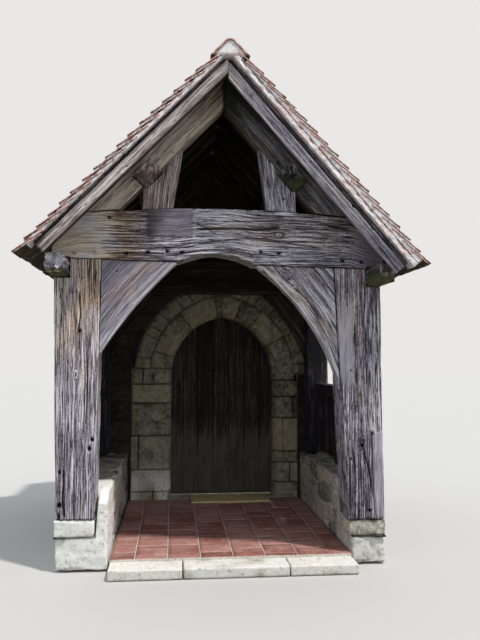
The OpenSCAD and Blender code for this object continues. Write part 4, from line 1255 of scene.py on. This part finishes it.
def verge(slopes):
    """Mortar between the edge tiles, stepped with their tails and broken away in places.

    It lies in two layers: a bed of nearly even depth, and the pointing that follows the tiles.
    """
    gaps = [(0.99, 2.69, 0.022, 0.04), (1.03, 2.64, 0.02, 0.04), (0.13, 3.50, 0.024, 0.04),
            (0.59, 3.10, 0.022, 0.04), (0.64, 3.05, 0.018, 0.04), (-1.20, 2.40, 0.03, 0.04),
            (-1.13, 2.46, 0.016, 0.03)]
    spacing, under_tiles, least = 0.009, 0.0105, 0.02
    piece = Piece()
    for slope, corner in zip(slopes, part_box("verge_mortar")):
        last = abs(corner.x - RIDGE_X) / math.cos(PITCH[slope.side]) - 0.004
        near = slope.tails[slope.tails < last]
        down = np.unique(np.round(np.concatenate([np.arange(0.03, last, spacing), near, near + 0.001]), 5))
        top = np.maximum(slope.top(down) - under_tiles, least)
        bed = np.minimum(top - 0.004, BED_DEPTH + 0.006 * noise(np.stack([down * 14, top, top], 1), 351))
        for floor, roof, face, cut in ((0.0006, bed, 0.0030, 0.016), (bed + 0.0004, top, 0.0045, 0.007)):
            slope.bed(piece, down, floor, roof, VERGE_Y + face, VERGE_Y + 0.16, 0.006,
                      arris=0.007, look=(cut, 0, 34), seed=350 + slope.side, holes=gaps)
    piece.make("verge_mortar_bed", VERGE_MORTAR, "mortar", ["verge_mortar"])


def run_along(rows, grit, seed):
    """Points of outlines in the front elevation, one for each place along Y, and their dents."""
    points = np.concatenate([np.stack([shape[:, 0], np.full(len(shape), y), shape[:, 1]], 1)
                             for shape, y in rows])
    return points, layers(points * grit + seed, seed)


def extrude(out, outline, stations, rough, seed):
    """A closed outline run along Y as a full piece, with the weather's dents."""
    middle = outline.mean(0)
    shares = [0.25, 0.5, 0.75, 1.0]
    rows = [*((stations[0], s) for s in shares), *((y, 1.0) for y in stations[1:-1]),
            *((stations[-1], s) for s in shares[::-1])]
    points, share = run_along([(middle + (outline - middle) * s, y) for y, s in rows], 22, seed)
    inward = np.stack([middle[0] - points[:, 0], np.zeros(len(points)), middle[1] - points[:, 2]], 1)
    inward /= np.maximum(np.linalg.norm(inward, axis=1, keepdims=True), 1e-9)
    points = points + inward * (rough * share)[:, None]
    index, quads = tube(len(rows), len(outline))
    caps = [(row[0], row[k + 1], row[k])[::flip] for row, flip in ((index[0], -1), (index[-1], 1))
            for k in range(1, len(outline) - 1)]
    out.add(points, quads[:, ::-1], np.array(caps), points + seed * 0.37, share)


def ridge_outline(inset):
    """The angle ridge from its right foot over the crown to its left, inset from the CAD outline."""
    low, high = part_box("ridge_tiles")
    middle = (low.x + high.x) / 2
    half = (high.x - low.x) / 2
    top = high.z - inset
    foot = high.z - 0.125
    legs = 5
    radius = 0.048 - inset
    steepest = 50
    turns = np.radians(np.linspace(steepest, -steepest, 9))
    crown = np.stack([middle + radius * np.sin(turns), top - radius + radius * np.cos(turns)], 1)
    feet = [np.array([middle + s * (half - inset * 1.4), foot - inset * 0.2]) for s in (RIGHT, LEFT)]
    share = np.linspace(0, 1, legs, endpoint=False)[:, None]
    right = feet[0] + share * (crown[0] - feet[0])
    left = (feet[1] + share * (crown[-1] - feet[1]))[::-1]
    return np.concatenate([right, crown, left])


def ridge():
    """Six angle ridge tiles, one behind the other, on a filling of mortar."""
    low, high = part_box("ridge_tiles")
    profile = np.concatenate([ridge_outline(0.001), ridge_outline(0.015)[::-1]])
    count = 6
    joint = 0.010
    length = (high.y - low.y) / count
    random = np.random.default_rng(360)
    clay = Piece()
    for k in range(count):
        start = low.y + k * length + (joint if k else 0.0005)
        stations = np.linspace(start, low.y + (k + 1) * length, 12)
        shell(clay, profile, stations, 0.003, 361 + k, 0.35 + 0.4 * random.random(),
              random.uniform(0, 0.004))
    clay.make("ridge_tiles_clay", TILE, "clay_tile", ["ridge_tiles"])
    bed = Piece()
    extrude(bed, ridge_outline(0.0045), np.linspace(low.y + 0.009, high.y - 0.002, 90), 0.006, 371)
    bed.make("ridge_mortar", VERGE_MORTAR, "mortar")


def shell(out, profile, stations, rough, seed, tint, drop):
    """A thin-walled outline run along Y: its ends are strips between its two faces."""
    half = len(profile) // 2
    lowered = profile - (0, drop)
    points, share = run_along([(lowered, y) for y in stations], 18, seed)
    points[:, 2] -= rough * share
    index, quads = tube(len(stations), len(profile))
    strips = []
    for row, flip in ((index[0], -1), (index[-1], 1)):
        outer, inner = row[:half], row[half:][::-1]
        strips.append(np.stack([outer[1:], outer[:-1], inner[:-1], inner[1:]], 1)[:, ::flip])
    out.add(points, np.concatenate([quads[:, ::-1], *strips]), None, points + seed * 0.37, share, tint)


# Stonework

def core(name, nodes, moves, material, slot):
    """The bedding behind a face of stones or tiles: CAD solids drawn in at those planes."""
    piece = Piece()
    for node in nodes:
        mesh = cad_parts[node].data
        mesh.calc_loop_triangles()
        faces = np.empty(len(mesh.loop_triangles) * 3, np.int32)
        mesh.loop_triangles.foreach_get("vertices", faces)
        corners = corners_in(mesh)
        for axis, plane, moved in moves:
            near = abs(corners[:, axis] - plane) < 0.0006
            corners[near, axis] = moved
        merged, same = np.unique(np.round(corners, 5), axis=0, return_inverse=True)
        piece.add(merged, np.zeros((0, 4), int), same.ravel()[faces.reshape(-1, 3)])
    piece.make(name, material, slot, nodes, smooth=False)


def courses(bottom, top, height, seed):
    """Heights of a wall's bed joints, unevenly spaced."""
    random = np.random.default_rng(seed)
    joints = [bottom]
    while joints[-1] < top - 0.6 * height:
        joints.append(joints[-1] + height * random.uniform(0.75, 1.3))
    joints[-1] = top
    return joints


def laid(spans, length, random):
    """The two ends of each stone of one course, where a span is wide enough for any."""
    narrowest = 0.05
    stones = []
    for start, end in spans:
        if end - start > narrowest:
            places = [start]
            while end - places[-1] > 1.5 * length:
                places.append(places[-1] + length * random.uniform(0.6, 1.4))
            stones += pairwise([*places, end])
    return stones


def gable_half(z):
    """How far the wall reaches left and right of the ridge line at a height."""
    return [min((RIDGE_Z - z) / math.tan(PITCH[side]), abs(edge - RIDGE_X))
            for side, edge in ((LEFT, WALL_LEFT), (RIGHT, WALL_RIGHT))]


def clear_arch(points):
    """Keeps stones outside the arch's outer course and under the rafters' backs."""
    joint = 0.004
    points = points.copy()
    for side in (LEFT, RIGHT):
        centre = DOOR_X - side * ARCH_OFFSET
        reach = ARCH_R + RING_W + OUTER_W + joint
        dx, dz = points[..., 0] - centre, points[..., 2] - SPRING_Z
        away = np.hypot(dx, dz)
        here = (side * (points[..., 0] - DOOR_X) > 0) & (dz > 0) & (away < reach)
        push = np.where(here & (points[..., 1] < ORDER_BACK), reach / np.maximum(away, 0.3), 1)
        points[..., 0] = centre + dx * push
        points[..., 2] = SPRING_Z + dz * push
    return under_rafters(points)


def under_rafters(points):
    """Keeps stones under the two slopes and the ridge."""
    under_slope, under_ridge = 0.01, 0.03
    points = points.copy()
    for side in (LEFT, RIGHT):
        limit = (RIDGE_Z - under_slope - points[..., 2]) / math.tan(PITCH[side])
        over = side * (points[..., 0] - RIDGE_X) - np.maximum(limit, 0.0)
        points[..., 0] -= side * np.maximum(over, 0)
    points[..., 2] = np.minimum(points[..., 2], RIDGE_Z - under_ridge)
    return points


def front_spans(near, top):
    """Where a course of the wall's front has stones: beside the jambs and the arch, or throughout."""
    if top < SPRING_Z + 0.02:
        return [(near[0], jambs_lo.x), (jambs_hi.x, near[1])]
    reach = ARCH_R + RING_W + OUTER_W
    rise = min(max(top - SPRING_Z, 0), reach - 0.04)
    half = math.sqrt(max(reach ** 2 - rise ** 2, 0)) - ARCH_OFFSET
    return [(near[0], DOOR_X - half), (DOOR_X + half, near[1])] if half > 0.02 else [near]


def back_spans(near, bottom, top):
    """Where a course of the wall's back has stones: beside the reveal and its lintel, or throughout."""
    lintel_lo, lintel_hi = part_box("inner_lintel")
    if (bottom + top) / 2 < lintel_lo.z:
        faces = []
        for node in ("wall_left_of_door", "wall_right_of_door"):
            corners = np.concatenate([corners_of(solid) for solid in solids(node)])
            faces.append(corners[(corners[:, 1] > BACK_Y - 0.01) & (corners[:, 2] < SPRING_Z), 0])
        return [(near[0], faces[0].max()), (faces[1].min(), near[1])]
    if bottom < lintel_hi.z - 0.03:
        return [(near[0], lintel_lo.x), (lintel_hi.x, near[1])]
    return [near]


def wall_faces():
    """Coursed rubble on the front, the back and the two ends of the stone wall."""
    half_joint = 0.004
    recess = 0.007
    skin = 0.10
    stone_height, stone_length, end_length = 0.165, 0.30, 0.34
    random = np.random.default_rng(400)
    front, back, ends = [], [], []
    for k, (z0, z1) in enumerate(pairwise(courses(0.0, RIDGE_Z - 0.05, stone_height, 401))):
        left, right = gable_half(z0)
        full = z1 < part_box("wall_plates")[1].z
        inset = skin * (k % 2) * full
        near = (RIDGE_X - left + inset, RIDGE_X + right - inset)
        front += [(a, b, WALL_Y, WALL_Y + skin, z0, z1)
                  for a, b in laid(front_spans(near, z1), stone_length, random)]
        back += [(a, b, BACK_Y - skin, BACK_Y, z0, z1)
                 for a, b in laid(back_spans(near, z0, z1), stone_length, random)]
        if full:
            trim = skin - inset
            for x in (WALL_LEFT, WALL_RIGHT - skin):
                ends += [(x, x + skin, a, b, z0, z1)
                         for a, b in laid([(WALL_Y + trim, BACK_Y - trim)], end_length, random)]
    # The front, inside the porch, takes the rubble darkened by painted shade.
    for name, faces, material in (("wall_stones_inside", front, RUBBLE_SHADED),
                                  ("wall_stones_outside", back + ends, RUBBLE)):
        lows, highs = [], []
        for x0, x1, y0, y1, z0, z1 in faces:
            lows.append((x0 + half_joint * (x0 > WALL_LEFT + 0.001), y0, z0 + half_joint * (z0 > 0)))
            highs.append((x1 - half_joint * (x1 < WALL_RIGHT - 0.001), y1, z1 - half_joint))
        block_piece(name, material, "rubble", [], lows, highs, cells=(7, 4, 5), edge=0.011,
                    rough=0.008, grit=14, seed=410, shape=lambda points, unit: clear_arch(points))
    core("wall_mortar", ["wall_left_of_door", "wall_right_of_door", "wall_over_door"],
         [(0, WALL_LEFT, WALL_LEFT + recess), (0, WALL_RIGHT, WALL_RIGHT - recess),
          (1, WALL_Y, WALL_Y + recess), (1, BACK_Y, BACK_Y - recess)], WALL_MORTAR, "mortar")


def chamfered(points, edge, side):
    """Cuts the arris of a jamb back to a chamfer."""
    points = points.copy()
    gap = side * (points[..., 0] - edge)
    sink = points[..., 1] - WALL_Y
    short = np.maximum(CHAMFER - gap - sink, 0) / 2 * (gap < CHAMFER)
    points[..., 0] += side * short
    points[..., 1] += short
    return points


def jambs():
    """Dressed stones up both sides of the doorway. Joints, splits and shades go from the foot up."""
    rows = {LEFT: [-FLOOR_Z, 0.077, 0.296, 0.637, 0.969, 1.161, 1.322],
            RIGHT: [-FLOOR_Z, 0.154, 0.357, 0.469, 0.807, 1.028, 1.197]}
    splits = {LEFT: {0: -0.55, 2: -0.70, 5: -0.66}, RIGHT: {1: 0.85, 3: 0.78, 4: 0.885}}
    # The right jamb's stones are darker than the left's, but for one pale buff stone: painted shade.
    shades = {LEFT: [0.9, 0.85, 0.55, 0.30, 0.75, 0.40], RIGHT: [0.5, 0.45, 0.4, 1.2, 0.15, 0.0]}
    hollows = [(0.812, 0.951, 0.020, 0.03), (-0.56, 1.25, 0.011, 0.02), (-0.567, 1.215, 0.007, 0.01)]
    joint = 0.003
    piece = Piece()
    for side, outer in ((LEFT, jambs_lo.x), (RIGHT, jambs_hi.x)):
        inner = DOOR_X + side * DOOR_HALF
        lows, highs, tints = [], [], []
        for k, (z0, z1) in enumerate(pairwise(rows[side])):
            for a, b in pairwise(sorted({outer, inner, splits[side].get(k, inner)})):
                lows.append((a + joint / 2, STONE_Y, z0 + FLOOR_Z + joint / 2 * (k > 0)))
                highs.append((b - joint / 2 * (b != inner), ORDER_BACK, z1 + FLOOR_Z - joint / 2))
                tints.append(shades[side][k])

        def dressed(points, unit):
            points = chamfered(points, inner, side)
            behind = (abs(unit[:, 2] - 0.5) > 0.49) * (unit[:, 1] > 0.3)
            points[..., 2] += joint * np.sign(unit[:, 2] - 0.5) * behind
            points[..., 2] = np.maximum(points[..., 2], 0.001)
            for x, z, radius, depth in hollows:
                gap = np.hypot(points[..., 0] - x, points[..., 2] - z - FLOOR_Z)
                points[..., 1] += depth * ramp(-gap, -radius, -0.6 * radius) * (unit[:, 1] < 0.1)
            return points

        def stained(world):
            low_lime = ramp(-world[:, 2], -0.50, -0.25) * (world[:, 0] < 0)
            streak = np.hypot(world[:, 0] + 0.56, (world[:, 2] - FLOOR_Z - 1.23) / 3)
            return low_lime * ramp(noise(world * 9, 425), 0.25, 0.5) - ramp(-streak, -0.02, -0.008)

        blocks(piece, lows, highs, cells=(14, 7, 12), edge=0.004, rough=0.007, grit=18,
               seed=421 + side, tints=np.array(tints), shape=dressed, coat=stained)
    piece.make("jamb_stones", LIMESTONE_SHADED, "limestone", ["door_jambs"])


def ring_stones(name, node, joints, beds, radii, cells, rough, seed, chamfer):
    """Arch stones between joints given as degrees up from the springing on each side.

    The first stone of each side lies level, at a height from the springing given in beds.
    """
    gap = 0.003
    piece = Piece()
    for side in (LEFT, RIGHT):
        centre = DOOR_X - side * ARCH_OFFSET
        turns = np.radians([0.0, *joints[side]])
        count = len(turns)

        def place(points):
            turn, y, r = np.moveaxis(points, -1, 0)
            radius = ARCH_R + radii[0] + r
            if chamfer:
                short = np.maximum(CHAMFER - r - y, 0) / 2
                radius = radius + short
                y = y + short
            last = np.arccos(np.clip(ARCH_OFFSET / radius, -1, 1))
            k = np.arange(count)[:, None]
            inside = k + 1 < count
            start = np.where(k == 0, np.arcsin(beds[side] / radius), turns[k])
            end = np.where(inside, np.append(turns, 0)[k + 1], last)
            seam = gap / radius * (y < 0.07)
            angle = start + seam + (turn - k) * (end - start - seam * (1 + inside))
            x = centre + side * radius * np.cos(angle)
            return np.stack([x, STONE_Y + y, SPRING_Z + radius * np.sin(angle)], -1)

        size = (1, ORDER_BACK - WALL_Y, radii[1] - radii[0])
        unit_blocks(piece, count, size, place, cells, rough, seed + side, -side)
    piece.make(name, LIMESTONE_SHADED, "limestone", [node])


def unit_blocks(out, count, size, place, cells, rough, seed, turn):
    """Blocks whose first axis counts joints, so that only the other two are in metres.

    turn is -1 where place mirrors them, so that their faces still look outwards.
    """
    unit, quads = box_grid(cells)
    number = np.arange(count)[:, None, None]
    own = number * 5.17
    world = place(number * (1, 0, 0) + unit * size)
    face = (unit[:, 1] < 0.001) | (unit[:, 2] < 0.001)
    rim = np.minimum(np.minimum(unit, 1 - unit)[:, [0, 2]].min(1) * 6, 1)
    share = layers(world * 24 + own, seed)
    world[..., 1] += (rough * share + 0.006 * (1 - rim) ** 3) * face
    tints = 0.3 + 0.4 * own_shades(count, seed + 5)
    out.add(world.reshape(-1, 3), repeated(quads[:, ::turn], count, len(unit)),
            grain=(world + own).reshape(-1, 3), dent=share.ravel(), tint=np.repeat(tints, len(unit)))


def arch():
    """The pointed arch and its outer course, whose joints fall at random."""
    ring_stones("arch_stones", "door_arch",
                {LEFT: [17.3, 49.9, 77.7], RIGHT: [29.0, 53.2, 69.5]}, {LEFT: 0.072, RIGHT: -0.053},
                (0.0, RING_W - 0.002), (16, 7, 9), 0.006, 430, True)
    random = np.random.default_rng(440)
    joints = {LEFT: [11.0], RIGHT: [8.0]}
    for places in joints.values():
        while places[-1] < 70:
            places.append(places[-1] + random.uniform(5.5, 15))
    ring_stones("outer_arch_stones", "outer_arch", joints, {LEFT: 0.072, RIGHT: 0.001},
                (RING_W + 0.002, RING_W + OUTER_W - 0.001), (7, 3, 5), 0.012, 441, False)


def sill():
    """Two worn stones in each part of the threshold."""
    half_joint = 0.002
    lows, highs = [], []
    for solid in solids("door_sill"):
        low, high = extent(solid)
        for a, b in pairwise(np.linspace(low[0], high[0], 3)):
            lows.append((a + half_joint, low[1], low[2]))
            highs.append((b - half_joint, high[1], high[2]))
    block_piece("sill_stones", LIMESTONE, "limestone", ["door_sill"], lows, highs,
                cells=(14, 10, 3), edge=0.006, rough=0.006, seed=450)


def dwarf_walls():
    """Low side walls of random rubble, limewashed towards the front and most on the left."""
    post_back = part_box("left_front_post")[1].y
    cell = 0.017
    for side, name in SIDES.items():
        node = name + "_dwarf_wall"
        low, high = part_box(node)
        pad_low, pad_high = next(extent(solid) for solid in solids("padstones") if side_of(solid) == side)
        step = pad_low[2]
        split_x = pad_high[0] if side == LEFT else pad_low[0]
        counts = tuple(math.ceil(size / cell) for size in high - low)

        def stones(flat):
            return rubbled(flat / (0.27, 0.27, 0.14) + side, 467)

        def limed(world):
            reach = ramp(-world[..., 1], 0.25, 0.75) if side == LEFT else 0.6 * ramp(-world[..., 1], 0.3, 1.0)
            return reach * ramp(noise(world * 5, 466) + 0.5 * reach, 0.2, 0.45)

        def relief(flat):
            joints = ramp(-stones(flat)[0], -0.13, -0.03) * (1 - 0.75 * np.clip(limed(flat), 0, 1))
            lumps = layers(flat * 9, 468 + side)
            boarded = (abs(flat[..., 0]) > 1.10) & (flat[..., 2] > high.z - 0.04)
            against_wall = flat[..., 1] > high.y - 0.001
            deep = 0.004 + 0.018 * lumps + 0.016 * joints + 0.004 * noise(flat * 45, 469)
            return np.where(boarded | against_wall, 0.0, deep)

        def stepped(points, unit):
            points = points.copy()
            front = ramp(-points[..., 1], -low.y - 0.16, -low.y)
            points[..., 2] -= 0.07 * front * ramp(points[..., 2], high.z - 0.25, high.z)
            beside = side * (points[..., 0] - split_x) > -cell
            over = beside & (points[..., 1] < post_back + cell)
            points[..., 2] = np.where(over, np.minimum(points[..., 2], step - 0.001), points[..., 2])
            return points

        def coat(world):
            return np.maximum(1.1 * limed(world), 0.6 * ramp(-stones(world)[0], -0.09, -0.04))

        block_piece(node + "_stones", RUBBLE, "rubble", [node], [tuple(low)], [tuple(high)],
                    cells=counts, edge=0.03, grit=11, seed=470 + side, coat=coat, relief=relief,
                    shape=stepped, tints=lambda flat: -0.2 + 1.5 * stones(flat)[1])


def padstones():
    """The blocks under the front posts, the left one limewashed and smoother."""
    def limed(world):
        return 0.95 * ramp(noise(world * 13, 482), 0.2, 0.45)

    piece = Piece()
    for solid, side, rough, shade, coat in zip(solids("padstones"), (LEFT, RIGHT), (0.012, 0.022),
                                               (0.75, 0.3), (limed, None)):
        low, high = extent(solid)
        blocks(piece, [low], [high], cells=(22, 20, 10), edge=0.02, rough=rough, grit=16,
               seed=480 + side, tints=np.array([shade]), coat=coat)
    piece.make("padstone_blocks", LIMESTONE, "limestone", ["padstones"])


def kerb():
    """Three long stones along the front of the floor."""
    low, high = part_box("front_kerb")
    half_joint = 0.001
    stones = list(pairwise([low.x, -0.28, 0.46, high.x]))
    block_piece("kerb_stones", LIMESTONE, "limestone", ["front_kerb"],
                [(a + half_joint, low.y, low.z) for a, _ in stones],
                [(b - half_joint, high.y, high.z) for _, b in stones],
                cells=(40, 14, 5), edge=0.007, rough=0.008, grit=12, seed=490,
                tints=np.array([0.7, 0.62, 0.75]),
                coat=lambda world: 0.7 * ramp(noise(world * 8, 492), 0.2, 0.5))


def floor_tiles():
    """Nine-inch quarry tiles in columns that run from front to back."""
    pitch = 0.235
    half_joint = 0.00225
    thickness = 0.022
    first_column = 0.174
    first_row = [0.17, 0.10, 0.10, 0.13, 0.20, 0.06, 0.18, 0.11]
    columns = [floor_lo.x, *np.arange(floor_lo.x + first_column, floor_hi.x - 0.05, pitch), floor_hi.x]
    lows, highs = [], []
    for (x0, x1), step in zip(pairwise(columns), first_row):
        rows = [FRONT_Y, *np.arange(FRONT_Y + step, WALL_Y - 0.03, pitch), WALL_Y]
        for y0, y1 in pairwise(rows):
            lows.append((x0 + half_joint, y0 + half_joint * (y0 > FRONT_Y), FLOOR_Z - thickness))
            highs.append((x1 - half_joint, y1 - half_joint, FLOOR_Z))
    random = np.random.default_rng(500)
    sink = random.uniform(0, 0.0008, (len(lows), 1))
    tilt = random.uniform(-0.0004, 0.0004, (len(lows), 2, 1))
    # Each tile in its own tone, and lighter towards the back: painted light where the back of the floor lies
    # in shade.
    shades = random.uniform(0.15, 0.9, len(lows)) + 0.45 * ramp(np.array(lows)[:, 1], -0.3, 0.8)

    def settle(points, unit):
        points = points.copy()
        points[..., 2] -= sink + abs(tilt[:, 0]) + abs(tilt[:, 1])
        points[..., 2] += tilt[:, 0] * (2 * unit[:, 0] - 1) + tilt[:, 1] * (2 * unit[:, 1] - 1)
        return points

    block_piece("quarry_tiles", QUARRY, "quarry_tile", [], lows, highs, cells=(6, 6, 1), edge=0.0012,
                rough=0.0008, grit=20, seed=501, tints=shades, shape=settle)
    recess, edge = 0.003, 0.001
    core("floor_bedding", ["floor_bed"],
         [(2, FLOOR_Z, FLOOR_Z - recess), (0, floor_lo.x, floor_lo.x + edge),
          (0, floor_hi.x, floor_hi.x - edge)], MORTAR, "mortar")


def doormat():
    """A coir mat: a thick woven back with cut bristles standing from it."""
    low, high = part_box("door_mat")
    piece = Piece()
    pile = 0.010
    rim = 0.003
    blocks(piece, [(low.x + rim, low.y + rim, low.z)], [(high.x - rim, high.y - rim, high.z - pile)],
           cells=(60, 30, 3), edge=0.006, rough=0.003, grit=80, seed=510)
    random = np.random.default_rng(511)
    count = 9000
    border, rooted, spread, thick = 0.006, 0.004, 0.0022, 0.0016
    shortest, longest = 0.009, 0.0135
    root = np.stack([random.uniform(low.x + border, high.x - border, count),
                     random.uniform(low.y + border, high.y - border, count),
                     np.full(count, high.z - pile - rooted)], 1)
    lean = random.normal(0, spread, (count, 2))
    tip = root + np.column_stack([lean, random.uniform(shortest, longest, count)])
    tip = np.minimum(tip, np.array(high) - (0.001, 0.001, 0))
    spin = random.uniform(0, 2 * math.pi, count)
    feet = [root + thick * np.stack([np.cos(spin + a), np.sin(spin + a), np.zeros(count)], 1)
            for a in (0, 2 * math.pi / 3, 4 * math.pi / 3)]
    points = np.stack([*feet, tip], 1).reshape(-1, 3)
    faces = repeated(np.array([(0, 1, 3), (1, 2, 3), (2, 0, 3), (0, 2, 1)]), count, 4)
    piece.add(points, np.zeros((0, 4), int), faces, tint=np.repeat(random.random(count), 4))
    piece.make("coir_mat", COIR, "coir", ["door_mat"])


# Light, floor and camera

def studio():
    """A plain pale floor, a key light from high on the right, and a soft sky."""
    scene = bpy.context.scene
    scene.view_settings.view_transform = "Standard"
    sun = bpy.data.lights.new("key", "SUN")
    sun.energy = 2.7
    sun.angle = math.radians(3.0)
    sun.color = (1.0, 0.97, 0.93)
    lamp = bpy.data.objects.new("key", sun)
    lamp.rotation_euler = Vector((0.38, -0.335, 1.0)).to_track_quat("Z", "Y").to_euler()
    scene.collection.objects.link(lamp)
    world = bpy.data.worlds.new("studio")
    world.use_nodes = True
    world.node_tree.nodes.clear()
    air = Nodes(world.node_tree)
    path = air.node("ShaderNodeLightPath").outputs
    seen = air.node("ShaderNodeMath", {0: path["Is Camera Ray"], 1: path["Is Glossy Ray"]},
                    operation="MAXIMUM")
    sky = air.node("ShaderNodeBackground", {"Color": (0.86, 0.93, 1.0, 1.0), "Strength": 0.80})
    backdrop = air.node("ShaderNodeBackground", {"Color": rgb("e9e8e6"), "Strength": 1.0})
    mix = air.node("ShaderNodeMixShader",
                   {0: seen.outputs[0], 1: sky.outputs[0], 2: backdrop.outputs[0]})
    air.node("ShaderNodeOutputWorld", {"Surface": mix.outputs[0]})
    scene.world = world
    mesh = bpy.data.meshes.new("studio_floor")
    half = 60.0
    mesh.from_pydata([(-half, -half, 0), (half, -half, 0), (half, half, 0), (-half, half, 0)], [],
                     [(0, 1, 2, 3)])
    floor = bpy.data.objects.new("studio_floor", mesh)
    scene.collection.objects.link(floor)
    paint = Paint("studio_floor")
    ray = paint.node("ShaderNodeLightPath").outputs["Is Camera Ray"]
    shade = paint.mix(ray, rgb("7e7e77"), rgb("c2c0bd"))
    mesh.materials.append(paint.finish(shade, 0.9))


def photographer():
    """The camera, where the photograph was taken from."""
    data = bpy.data.cameras.new("camera")
    data.sensor_width = 36.0
    data.lens = 39.13
    camera = bpy.data.objects.new("camera", data)
    camera.location = (-0.3625, -6.103, 1.489)
    yaw, rise = math.radians(5.56), math.radians(3.34)
    camera.rotation_euler = (math.pi / 2 + rise, 0, -yaw)
    data.clip_end = 200
    bpy.context.scene.collection.objects.link(camera)
    bpy.context.scene.camera = camera


studio()
photographer()
front_posts()
front_tie()
arch_braces()
front_gable()
barge_boards()
running_timbers()
inner_frame()
side_boards()
door()
slopes = [Slope(LEFT), Slope(RIGHT)]
for one in slopes:
    tiles(one)
    battens(one)
verge(slopes)
ridge()
wall_faces()
jambs()
arch()
sill()
dwarf_walls()
padstones()
kerb()
floor_tiles()
doormat()
